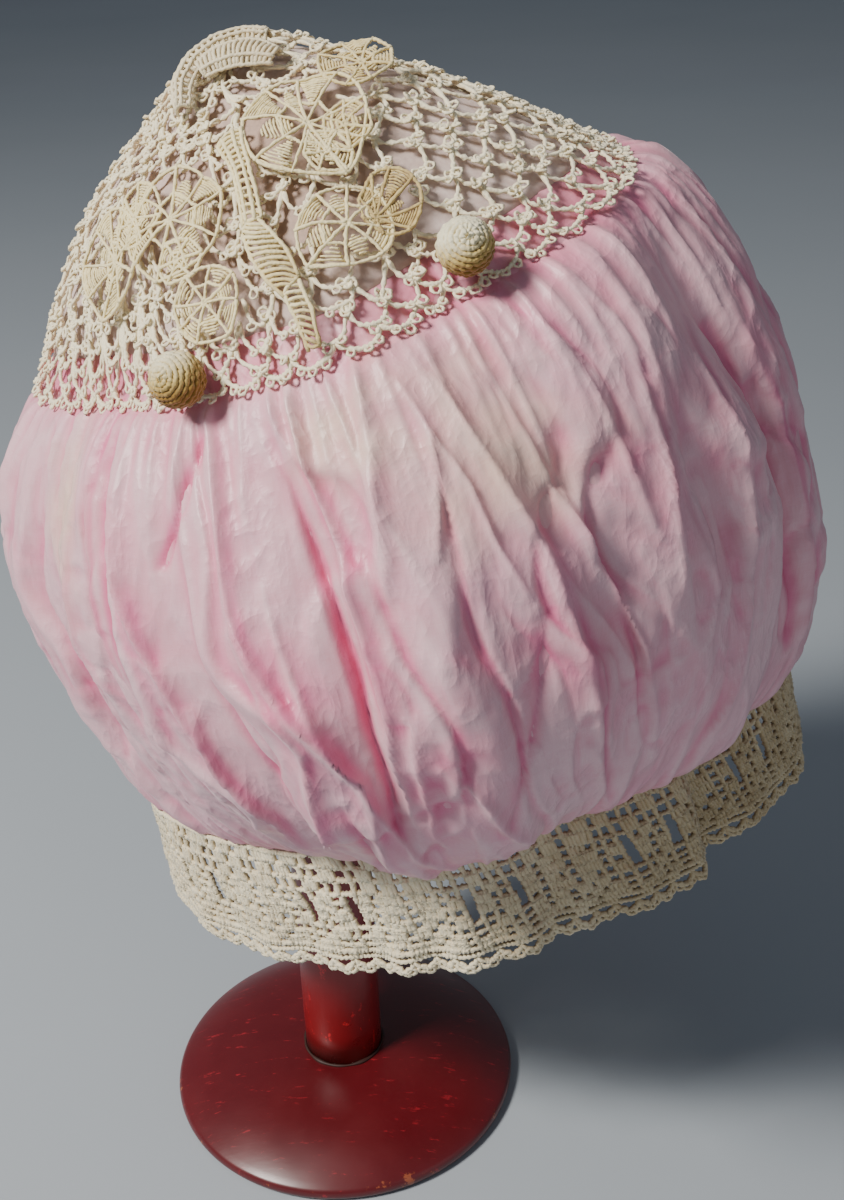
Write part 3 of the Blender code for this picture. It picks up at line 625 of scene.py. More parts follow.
def band_point(azimuth, fall, out=0.0):
    """Middle of the band's wall at a fall below its upper edge: an oval that flares a little and
    waves twice to each of its panels towards the lower edge, moved out square to its axis."""
    azimuth, fall = np.broadcast_arrays(np.asarray(azimuth, float), np.asarray(fall, float))
    low = np.clip(fall / band_height, 0, 1)
    turn = np.radians(azimuth)
    wave = 0.0012 * np.cos(2 * panels * turn) * low
    reach = oval(azimuth, band_width, band_depth) * around(band_edge, "reach", azimuth)
    reach = reach + 0.0030 * low + wave + out
    across = (reach * np.cos(turn))[..., None] * band_across
    return band_centre + across + (reach * np.sin(turn))[..., None] * back - fall[..., None] * band_up


def puff_point(azimuth, share):
    """Silk's inner face: a straight line from the crown's edge to the band, swelled outwards by a
    bent half wave, by the broad folds, which are bell curves across, and by the gathers."""
    azimuth, share = np.broadcast_arrays(np.asarray(azimuth, float), np.asarray(share, float))
    top = crown_point(azimuth, 1.0)
    foot = band_point(azimuth, -(joint_gap + silk_wall))
    chord = foot - top
    chord = chord / np.linalg.norm(chord, axis=-1, keepdims=True)
    turn = np.radians(azimuth)
    out = np.cos(turn)[..., None] * crown_across + np.sin(turn)[..., None] * back
    out = out - (out * chord).sum(-1, keepdims=True) * chord
    out = out / np.linalg.norm(out, axis=-1, keepdims=True)
    bend = np.log(0.5) / np.log(around(puff_form, "peak", azimuth))
    rise = np.clip(np.sin(np.pi * share**bend), 0, 1) ** around(puff_form, "power", azimuth)
    height = np.zeros(share.shape)
    for fold in broad_folds:
        line = fold["crown"] + (fold["band"] - fold["crown"]) * share
        off = (np.mod(azimuth - line + 180, 360) - 180) / fold["width"]
        part = np.clip((share - fold["start"]) / (fold["end"] - fold["start"]), 0, 1)
        height += fold["height"] * np.exp(-(off**2)) * np.sin(np.pi * part)
    swell = puff_fullness * (around(puff_form, "swell", azimuth) * rise + height)
    edges = np.sqrt(np.clip(np.sin(np.pi * share), 0, 1)) * np.cos(np.pi * share) ** 2
    gather = 0.0012 * np.cos(gathers * turn) * edges
    return top + (foot - top) * share[..., None] + out * (swell + gather)[..., None]


def square_to(points):
    """Directions square to a grid of closed rings, outwards, from the differences of neighbours."""
    fall = np.gradient(points, axis=0)
    along = np.roll(points, -1, axis=1) - np.roll(points, 1, axis=1)
    square = np.cross(fall, along)
    return square / np.linalg.norm(square, axis=-1, keepdims=True)


def spread(field, size):
    """Field averaged over a square of grid points, joined round the rings."""
    total = np.zeros(field.shape)
    count = 0
    for step in range(-size, size + 1):
        total += np.roll(field, step, axis=1)
        count += 1
    total /= count
    padded = np.pad(total, ((size, size), (0, 0)), mode="edge")
    summed = np.cumsum(np.vstack((np.zeros((1, field.shape[1])), padded)), axis=0)
    return (summed[2 * size + 1 :] - summed[: -2 * size - 1]) / (2 * size + 1)


columns = 600
around_once = np.arange(columns) * 2 * np.pi / columns
azimuth = np.degrees(around_once) - 21 * np.sin(around_once - 1.5 * np.pi)
tucked = np.array((seam - 0.020, seam - 0.008))
under = np.linspace(seam + 0.004, 0.995, 6)
even = np.linspace(0.0, 1.0, 137)[1:]
shares = 0.35 * (0.5 - 0.5 * np.cos(np.pi * even)) + 0.65 * even
top_rows = crown_point(azimuth[None, :], tucked[:, None], -0.0022)
lap_rows = crown_point(azimuth[None, :], under[:, None])
points = np.concatenate((top_rows, lap_rows, puff_point(azimuth[None, :], shares[:, None])))
way = np.concatenate((np.zeros(8), shares))[:, None] * np.ones(columns)
turn = azimuth[None, :] * np.ones(way.shape)
step = np.mod(np.roll(azimuth, -1) - np.roll(azimuth, 1), 360)
girth = np.linalg.norm(np.roll(points, -1, axis=1) - np.roll(points, 1, axis=1), axis=-1) / step
height = np.zeros(way.shape)
# Painted shading along the shaded side of each crisp crease.
dye = np.zeros(way.shape)
for crease in crisp_creases:
    part = (way - crease["start"]) / (crease["end"] - crease["start"])
    inside = np.clip(part, 0, 1)
    steps = np.array([crease[name] for name in ("first", "second", "third", "last")])
    line = np.interp(inside * 3, np.arange(4), steps)
    line = line + 0.0009 * rough(points, 0.016, 19) / girth
    off = (np.mod(turn - line + 180, 360) - 180) * girth * 1000 / crease["width"]
    fade = np.sin(np.pi * inside) ** 0.5 * ((part > 0) & (part < 1))
    side = np.sign(crease["height"])
    height += 2.1 * crease["height"] * fade * np.exp(-np.abs(off) * 1.15)
    dye += (0.3 + crease["dye"]) * fade * np.exp(-((off - 0.55 * side) ** 2) / 0.5)

random = np.random.default_rng(11)
for end, count in ((0.0, 112), (1.0, 100)):
    at = (np.arange(count) + random.uniform(-0.60, 0.60, count)) * 360 / count
    tall = random.uniform(0.6, 2.5, count)
    wide = random.uniform(0.8, 1.8, count)
    long = random.uniform(0.08, 0.55, count) * (1.15 if end == 0 else 0.80)
    lean = random.uniform(-20, 20, count)
    for k in range(count):
        away = np.abs(way - end)
        off = (np.mod(turn - at[k] - lean[k] * away + 180, 360) - 180) * girth * 1000
        off = off / (wide[k] * (1 + 1.6 * away / long[k]))
        fade = np.clip(1 - away / long[k], 0, 1) ** 1.2
        height += tall[k] * fade * np.exp(-np.abs(off) ** 1.25)

rolled = np.stack((0.105 * np.cos(np.radians(turn)), 0.105 * np.sin(np.radians(turn)), 0.17 * way), axis=-1)
warp = np.stack([rough(rolled, 0.030, 20 + k) for k in range(3)], axis=-1)
slack = np.clip(np.sin(np.pi * np.clip(way, 0, 1)), 0, 1) ** 0.45
rumple = np.clip(0.60 + 0.75 * rough(points, 0.045, 31), 0.15, 1.3)
folds = (
    (4.0, (0.024, 0.024, 0.130), 0.0110, 41, 1.0),
    (2.8, (0.0150, 0.0150, 0.080), 0.0080, 42, 1.0),
    (1.7, (0.0100, 0.0100, 0.038), 0.0060, 43, rumple),
    (1.0, (0.0066, 0.0066, 0.0180), 0.0040, 44, rumple),
    (0.65, (0.0044, 0.0044, 0.0090), 0.0025, 47, rumple),
)
crumple = np.zeros(way.shape)
# Painted shading: a thin deep line where each fold steps over.
fold_step_shading = np.zeros(way.shape)
for number, (tall, size, bent, seed, where) in enumerate(folds):
    field = rough(rolled + bent * warp, size, seed)
    side = 1 - 2 * (number % 2)
    lapped = 0.34 * np.tanh(field / 0.07) * np.exp(-((field / 0.32) ** 2))
    crumple += tall * where * (side * (0.42 - np.abs(field)) + lapped)
    fold_step_shading += where * np.exp(-((field / 0.06) ** 2)) * (number < 4)
height += slack * crumple
hug = np.clip((way - 0.002) / 0.020, 0, 1) * (0.35 + 0.65 * np.clip((1 - way) / 0.05, 0, 1))
height *= 0.22 + 0.78 * hug
height[:2] = 0
# Painted shading: deeper pink in the valleys of the relief, where shadow falls.
relief = height - spread(height, 4)
deep = np.clip(0.22 - 0.80 * relief, 0, 1)
# Deeper near both edges, where the silk is doubled in the gathers: partly its own doubled colour, partly painted
# shading.
seam_doubling_and_shading = 0.8 * np.exp(-way / 0.030) + 0.9 * np.exp(-(1 - way) / 0.05)
patchy = 0.16 * rough(points, 0.022, 61) + 0.10 * rough(points, 0.008, 62)
# The pink is deepened by these painted shadings, plus random patches of tone.
painted_fold_shading_and_tone = np.clip(0.40 * deep + 0.42 * dye + 0.34 * seam_doubling_and_shading + 0.15 * slack * fold_step_shading + patchy, 0, 1)
blot = rough(points, 0.014, 71) * 0.5 + rough(points, 0.006, 73) * 0.3
front_stain = np.exp(-(((turn - 293) / 13) ** 2)) * np.exp(-(((way - 0.17) / 0.14) ** 2))
left_stain = np.exp(-(((turn - 209) / 9) ** 2)) * np.exp(-(((way - 0.16) / 0.16) ** 2))
top_stain = np.exp(-(((turn - 272) / 11) ** 2)) * np.exp(-(((way - 0.07) / 0.09) ** 2))
stain = 0.6 * np.clip(1.4 * front_stain + 1.5 * left_stain + 0.9 * top_stain + blot * 0.9 - 0.30, 0, 1)
stain *= np.clip(front_stain + left_stain + top_stain, 0, 1) ** 0.4

square = square_to(points)
outer = points + square * (silk_wall + 0.001 * height)[..., None]
inner_rows = np.linspace(len(points) - 1, 0, 14).round().astype(int)
inner = (points + square * (0.001 * np.minimum(height, 0.8))[..., None])[inner_rows]
grid = np.concatenate((outer, inner))
silk_quads = ring_quads(len(grid) + 1, columns) % (len(grid) * columns)
silk = build("silk_puff_cloth", grid, [silk_quads])
for name, field in (("painted_fold_shading_and_tone", painted_fold_shading_and_tone), ("stain", stain)):
    full = np.concatenate((field, field[inner_rows]))
    made = silk.data.attributes.new(name, "FLOAT", "POINT")
    made.data.foreach_set("value", full.astype(np.float32).ravel())
cloth_map = silk.data.uv_layers.new(name="cloth")
corner = np.empty(len(silk.data.loops), dtype=np.int32)
silk.data.loops.foreach_get("vertex_index", corner)
flat_v = np.repeat(np.arange(len(grid)) * 0.0012, columns)
column = corner % columns
wrapped = (column == 0) & (np.arange(len(corner)) % 4 >= 2)
flat_u = np.where(wrapped, columns, column) * 0.0013
cloth_map.data.foreach_set("uv", np.stack((flat_u, flat_v[corner]), axis=-1).astype(np.float32).ravel())

material, tree, shader, node = shader_of("pink_silk")
cloth = node("ShaderNodeUVMap").outputs[0]
place = node("ShaderNodeTexCoord").outputs["Object"]
fold_shading_of = node("ShaderNodeAttribute")
fold_shading_of.attribute_name = "painted_fold_shading_and_tone"
stain_of = node("ShaderNodeAttribute")
stain_of.attribute_name = "stain"
# Pale pink where the painted fold shading is low, hot pink where it is deepest.
colour = ramp(
    tree,
    fold_shading_of.outputs["Fac"],
    (0.02, (0.82, 0.50, 0.56, 1.0)),
    (0.30, (0.78, 0.36, 0.45, 1.0)),
    (0.60, (0.75, 0.20, 0.34, 1.0)),
    (1.0, (0.64, 0.08, 0.20, 1.0)),
)
cream = mixed(tree, node, stain_of.outputs["Fac"], colour, (0.84, 0.64, 0.47, 1.0))
clouds = node("ShaderNodeTexNoise", Vector=place, Scale=45.0, Detail=5.0, Roughness=0.6)
cream = mixed(tree, node, 0.18, cream, clouds.outputs[0], "OVERLAY")
threads_across = node("ShaderNodeMapping", Vector=cloth, Scale=(260.0, 2600.0, 1.0))
slub = node("ShaderNodeTexNoise", Vector=threads_across.outputs[0], Scale=1.0, Detail=2.0)
threads_down = node("ShaderNodeMapping", Vector=cloth, Scale=(2600.0, 200.0, 1.0))
warp_thread = node("ShaderNodeTexNoise", Vector=threads_down.outputs[0], Scale=1.0, Detail=2.0)
weave = mixed(tree, node, 0.5, slub.outputs[0], warp_thread.outputs[0])
cream = mixed(tree, node, 0.22, cream, weave, "OVERLAY")
tree.links.new(cream, shader.inputs["Base Color"])
gloss = node("ShaderNodeMapRange", Value=clouds.outputs[0])
gloss.inputs[3].default_value = 0.36
gloss.inputs[4].default_value = 0.52
tree.links.new(gloss.outputs[0], shader.inputs["Roughness"])
shader.inputs["Specular IOR Level"].default_value = 0.55
shader.inputs["Sheen Weight"].default_value = 0.14
shader.inputs["Sheen Roughness"].default_value = 0.35
shader.inputs["Sheen Tint"].default_value = (1.0, 0.86, 0.90, 1.0)
tall_cells = node("ShaderNodeMapping", Vector=place, Scale=(1.0, 1.0, 0.55))
crumple = node("ShaderNodeTexNoise", Vector=tall_cells.outputs[0], Scale=110.0, Detail=3.0, Roughness=0.45)
crumple.noise_type = "RIDGED_MULTIFRACTAL"
crumple.inputs["Offset"].default_value = 1.0
crumple.inputs["Gain"].default_value = 1.6
uneven = node("ShaderNodeMapRange", Value=clouds.outputs[0])
uneven.inputs[1].default_value = 0.35
uneven.inputs[2].default_value = 0.65
uneven.inputs[3].default_value = 0.18
uneven.inputs[4].default_value = 0.55
bump_broad = node("ShaderNodeBump", Height=crumple.outputs[0], Strength=uneven.outputs[0])
bump_broad.inputs["Distance"].default_value = 0.0009
bump = node("ShaderNodeBump", Height=weave, Strength=0.35, Normal=bump_broad.outputs[0])
bump.inputs["Distance"].default_value = 0.00012
tree.links.new(bump.outputs[0], shader.inputs["Normal"])
silk.data.materials.append(material)
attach(silk, "root")
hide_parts("silk_puff")


# Crown's lace: ivory cotton crochet worked from the middle out, in arches of chain stitches that
# hang from the arches before them and carry small picot loops. It is left open under the bow. The
# last round is a scalloped edge, which laps over the silk and is sewn down to it.

net_pitch = 0.0104
net_drop = 0.0058
net_thread = 0.00062
net_lift = lace_lift + net_thread
scallop_thread = 0.00066
picot_reach = 0.00125
lace_colours = ((0.98, 0.89, 0.65, 1.0), (0.76, 0.64, 0.40, 1.0))
# Needle-lace wheels of the bow: place of the hub in millimetres seen square to the crown's edge,
# to the right and to the back; offset of the rim's middle and half sizes of the rim on the cloth,
# sideways and up the slope; turn of its spokes, their number, the share at which the inner ring
# lies, how brown it is, and its wing
wheels = table(
    "hub_x hub_y off_x off_y wide tall turn spokes inner brown wing",
    (17.3, -43.0, 0.8, 2.0, 14.6, 15.6, 22, 9, 0.48, 0.08, 1),
    (26.2, -43.4, 0.4, 0.0, 6.2, 6.4, 10, 6, 0.40, 0.50, 1),
    (19.8, -49.0, 0.0, -0.4, 6.0, 6.6, 35, 6, 0.40, 0.05, 1),
    (33.0, -27.6, 0.6, 2.4, 8.2, 10.0, 15, 8, 0.42, 0.50, 1),
    (18.4, -63.5, 0.4, 0.4, 11.2, 10.6, 12, 8, 0.54, 0.12, 1),
    (25.0, -61.0, 5.2, 0.6, 8.8, 8.2, 0, 8, 0.36, 1.20, 1),
    (-19.4, -46.2, 0.0, 0.6, 15.2, 13.4, 14, 9, 0.50, 0.20, 2),
    (-17.1, -62.0, 0.2, 0.2, 10.0, 9.4, 30, 8, 0.56, 0.08, 2),
    (-28.4, -37.6, 0.0, 1.0, 8.0, 8.4, 50, 7, 0.42, 0.10, 2),
    (-38.0, -37.0, -2.6, 1.0, 11.6, 13.4, 20, 9, 0.36, 0.12, 2),
    (-20.6, -53.0, 0.4, 0.0, 6.6, 6.2, 0, 6, 0.40, 0.10, 2),
)


def strands(paths, radius, outward, sides=5, closed=False, stain=0.0):
    """Round threads along many paths at once: a ring of corners lies square to each path point,
    its height on the side of the outward direction. Smooth random fields move the path a little
    and make it thicker and thinner, as hand work is. Gives points, faces and a value for each point
    that is painted shading, 0 on the outer side and 1 underneath where the thread lies in its own
    shadow, plus the stain."""
    paths = np.asarray(paths, float)
    count, length = paths.shape[:2]
    uneven = np.stack([rough(paths, 0.0012, 201 + axis) for axis in range(3)], axis=-1)
    radius = radius * (1 + 0.26 * rough(paths, 0.0009, 204))
    paths = paths + 0.00017 * uneven
    if closed:
        along = np.roll(paths, -1, axis=1) - np.roll(paths, 1, axis=1)
    else:
        along = np.gradient(paths, axis=1)
    along = along / np.linalg.norm(along, axis=-1, keepdims=True)
    side = np.cross(along, outward)
    side = side / np.linalg.norm(side, axis=-1, keepdims=True)
    up = np.cross(side, along)
    turn = np.arange(sides) * 2 * np.pi / sides
    ring = np.cos(turn)[:, None] * side[:, :, None] + np.sin(turn)[:, None] * up[:, :, None]
    reach = np.broadcast_to(radius, (count, length))[..., None, None]
    points = paths[:, :, None] + reach * ring
    index = np.arange(count * length * sides).reshape(count, length, sides)
    low = index if closed else index[:, :-1]
    high = np.roll(index, -1, axis=1) if closed else index[:, 1:]
    quads = np.stack((low, high, np.roll(high, -1, axis=2), np.roll(low, -1, axis=2)), axis=-1).reshape(-1, 4)
    faces = [quads] if closed else [quads, index[:, 0], index[:, -1, ::-1]]
    # Painted shading: 0 on the outer side of each thread and 1 underneath, where it lies in its own shadow.
    painted_shade_and_stain = np.broadcast_to(0.5 - 0.5 * np.sin(turn), (count, length, sides))
    painted_shade_and_stain = painted_shade_and_stain + np.broadcast_to(stain, (count, length))[..., None]
    return points.reshape(-1, 3), faces, painted_shade_and_stain.ravel()


def worked(name, *parts):
    """One piece of several sets of threads, with each point's painted shading and stain as an attribute."""
    start = 0
    faces = []
    for points, part_faces, painted_shade_and_stain in parts:
        faces += [part + start for part in part_faces]
        start += len(points)
    obj = build(name, np.concatenate([part[0] for part in parts]), faces)
    made = obj.data.attributes.new("painted_shade_and_stain", "FLOAT", "POINT")
    made.data.foreach_set("value", np.concatenate([part[2] for part in parts]).astype(np.float32))
    return obj


def cotton(name, light, deep, brown=(0.33, 0.20, 0.09, 1.0), stained=0.35):
    """Old cotton thread with painted shading: lighter on the outer side and deeper underneath and
    between the threads, where shadow falls. It is yellowed in patches, with brown stains where the
    painted shading and stain go beyond 1, and has a twisted, hairy surface."""
    material, tree, shader, node = shader_of(name)
    place = node("ShaderNodeTexCoord").outputs["Object"]
    painted_shade_and_stain = node("ShaderNodeAttribute")
    painted_shade_and_stain.attribute_name = "painted_shade_and_stain"
    patch = node("ShaderNodeTexNoise", Vector=place, Scale=75.0, Detail=4.0, Roughness=0.65)
    fibre = node("ShaderNodeTexNoise", Vector=place, Scale=1500.0, Detail=3.0, Roughness=0.6)
    sum_up = node("ShaderNodeMath", i0=painted_shade_and_stain.outputs["Fac"], i1=patch.outputs[0])
    sum_up.operation = "ADD"
    half = node("ShaderNodeMath", i0=sum_up.outputs[0], i1=0.4)
    half.operation = "MULTIPLY"
    # The colour goes from light to deep with the painted shading, and on to brown with the stain.
    colour = ramp(tree, half.outputs[0], (0.26, light), (0.64, deep), (0.98, brown))
    colour = mixed(tree, node, 0.22, colour, fibre.outputs[0], "OVERLAY")
    tree.links.new(colour, shader.inputs["Base Color"])
    shader.inputs["Roughness"].default_value = 0.82
    shader.inputs["Specular IOR Level"].default_value = 0.25
    shader.inputs["Sheen Weight"].default_value = 0.25
    shader.inputs["Sheen Roughness"].default_value = 0.5
    ply = node("ShaderNodeTexVoronoi", Vector=place, Scale=1150.0)
    bump = node("ShaderNodeBump", Height=ply.outputs["Distance"], Strength=0.55)
    bump.inputs["Distance"].default_value = 0.00035
    tree.links.new(bump.outputs[0], shader.inputs["Normal"])
    return material


def wheel_seat(wheel):
    """Place of a wheel's hub on the crown and the directions sideways and up the slope there."""
    azimuth = math.degrees(math.atan2(wheel["hub_y"], wheel["hub_x"]))
    edge = 1000 * oval(azimuth, crown_width, crown_depth) * around(crown_edge, "reach", azimuth)
    hub, square = crown_frame(azimuth, math.hypot(wheel["hub_x"], wheel["hub_y"]) / edge)
    rise = crown_up - (crown_up @ square) * square
    rise = rise / np.linalg.norm(rise)
    return hub, np.cross(rise, square), rise


def in_wheels(azimuth, share, margin):
    """Whether places on the crown lie inside one of the bow's wheels, shrunk by a margin in
    millimetres."""
    place = crown_inside(azimuth, share)
    found = np.zeros(np.shape(azimuth), bool)
    for wheel in wheels:
        hub, sideways, rise = wheel_seat(wheel)
        off_x = 1000 * (place - hub) @ sideways - wheel["off_x"]
        off_y = 1000 * (place - hub) @ rise - wheel["off_y"]
        found |= (off_x / (wheel["wide"] - margin)) ** 2 + (off_y / (wheel["tall"] - margin)) ** 2 < 1
    return found


def net_place(azimuth, share, lift):
    """Point of the net on the crown, pulled about a little by a smooth random field that is the
    same for every thread passing there."""
    base = crown_inside(azimuth, share)
    pull = rough(base, 0.0075, 81)
    slip = rough(base, 0.0085, 83)
    away = np.maximum(share, 0.12)
    azimuth = azimuth + np.degrees(0.0024 * pull / (0.085 * away))
    share = np.clip(share + 0.022 * slip * np.clip((1 - share) / 0.1, 0, 1), 0.012, 1.0)
    point, square = crown_frame(azimuth, share)
    return point + (lift + 0.0003 * rough(base, 0.004, 85))[..., None] * square, square


fine = np.linspace(0, 1, 300)
slope = crown_inside(275.0, fine)
slope = np.concatenate(((0.0,), np.cumsum(np.linalg.norm(np.diff(slope, axis=0), axis=-1))))
rounds = int(0.965 * slope[-1] / net_drop)
levels = np.interp(np.linspace(net_drop, 0.962 * slope[-1], rounds), slope, fine)
levels = np.append(levels, 1.0)
counts = np.maximum(6, np.round(2 * np.pi * 0.085 * levels / net_pitch)).astype(int)
counts[-1] = counts[-2]
random = np.random.default_rng(5)
arch_parts, picot_parts, edge_parts = [], [], []
steps = np.linspace(0, 1, 17)
ends = np.full(counts[0], 0.02)
last_ends, last_count, last_level, last_shift = None, 0, 0.02, 0.0
for number, (level, count) in enumerate(zip(levels, counts)):
    shift = last_shift + 0.5 * (count == last_count) + 0.21 * (count != last_count)
    starts = (np.arange(count) + shift) / count
    if last_ends is not None:
        spot = (starts * last_count - last_shift) % last_count
        arch = spot.astype(int)
        part = spot - arch
        first, second = last_ends[arch % last_count], last_ends[(arch + 1) % last_count]
        ends = first * (1 - part) + second * part + (last_level - (first + second) / 2) * (4 * part * (1 - part)) ** 0.6
    first, second = ends[:, None], np.roll(ends, -1)[:, None]
    dip = level + random.uniform(-0.006, 0.006, (count, 1)) * (number < rounds)
    dip = np.minimum(dip, 1.0)
    share = first * (1 - steps) + second * steps + (dip - (first + second) / 2) * (4 * steps * (1 - steps)) ** 0.6
    azimuth = 360 * (starts[:, None] + steps / count)
    edge = number == rounds
    kept = ~in_wheels(azimuth[:, 8], share[:, 8], 1.5) | edge
    thread = scallop_thread if edge else net_thread
    path, square = net_place(azimuth, share, net_lift + 0.00035 * np.sin(np.pi * steps))
    bobble = thread * (1 + 0.30 * np.where(np.arange(17) % 2, 1, -1) + random.uniform(-0.20, 0.20, (count, 17)))
    stain = random.uniform(0, 0.16, (count, 1)) * np.ones(17)
    (edge_parts if edge else arch_parts).append(
        strands(path[kept], bobble[kept], square[kept], 5, stain=stain[kept])
    )
    for at, tip in ((3, 0.9), (8, 0.2), (13, -0.9)) if edge else ((0, 2.7), (0, 0.9), (0, -0.7), (6, 0.5), (11, -0.4)):
        ahead_of = path[:, min(at + 1, 16)] - path[:, max(at - 1, 0)]
        ahead_of /= np.linalg.norm(ahead_of, axis=-1, keepdims=True)
        out = square[:, at]
        falling = np.cross(out, ahead_of)
        falling *= np.sign((falling @ crown_up) * -1)[:, None]
        swing = tip + random.uniform(-0.5, 0.5, (count, 1))
        tilt = np.radians(random.uniform(2, 44, (count, 1)))
        flat_way = np.cos(swing) * falling + np.sin(swing) * ahead_of
        reach_way = np.cos(tilt) * flat_way + np.sin(tilt) * out
        cross_way = np.cross(out, flat_way)
        size = picot_reach * random.uniform(0.80, 1.15, (count, 1))
        centre = path[:, at] + 0.9 * size * reach_way
        bend = np.arange(9) * 2 * np.pi / 9
        loop = (
            centre[:, None]
            + size[..., None] * 1.05 * np.cos(bend)[:, None] * reach_way[:, None]
            + size[..., None] * 0.85 * np.sin(bend)[:, None] * cross_way[:, None]
        )
        loop_square = np.cross(reach_way, cross_way)
        loop_square *= np.sign((loop_square * out).sum(-1))[:, None]
        shown = kept & ~in_wheels(azimuth[:, at], share[:, at], 1.0) | edge
        picot_radius = 0.00047 * (1 + 0.28 * np.where(np.arange(9) % 2, 1, -1))
        (edge_parts if edge else picot_parts).append(
            strands(loop[shown], picot_radius, loop_square[shown][:, None], 4, True, stain[shown, :9])
        )
    last_ends, last_count, last_level, last_shift = ends, count, level, shift

crown_cotton = cotton("ivory_crochet_cotton", *lace_colours)
crown_arches = worked("crown_lace_arches", *arch_parts)
crown_picots = worked("crown_lace_picots", *picot_parts)
crown_border = worked("crown_lace_edge", *edge_parts)
for piece in (crown_arches, crown_picots, crown_border):
    piece.data.materials.append(crown_cotton)
    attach(piece, "root")
    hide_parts("crown_lace")


# Bow: needle lace of stiff cream thread, sewn on the net. Each wing is a few wheels, made of
# spokes crossed at a hub, an inner and an outer ring, and every second gap darned with close
# threads. One wheel at the right has gone brown.

trim_lift = lace_lift + lace_wall + 0.0010
spoke_thread = 0.00046
darn_thread = 0.00034
darn_pitch = 0.00060


def plan_point(across, along, lift):
    """Point above the crown over a place in the plane of its edge, in millimetres, and the
    direction square to the crown there."""
    azimuth = np.degrees(np.arctan2(along, across))
    reach = 1000 * oval(azimuth, crown_width, crown_depth) * around(crown_edge, "reach", azimuth)
    point, square = crown_frame(azimuth, np.hypot(across, along) / reach)
    return point + np.asarray(lift, float)[..., None] * square, square


def bow_lift(across, along):
    """Height of the bow above the crown: flat on the net, with the right wing's right edge and the
    ends of the wings curled up a little, and small waves."""
    curl = 0.0026 * np.clip((across - 24) / 12, 0, 1) ** 2 + 0.0012 * np.clip((-across - 40) / 14, 0, 1) ** 2
    spot = np.stack((across, along, 0 * across), axis=-1)
    return trim_lift + 0.0005 + curl + 0.0007 * (1 + rough(spot, 7.0, 91))


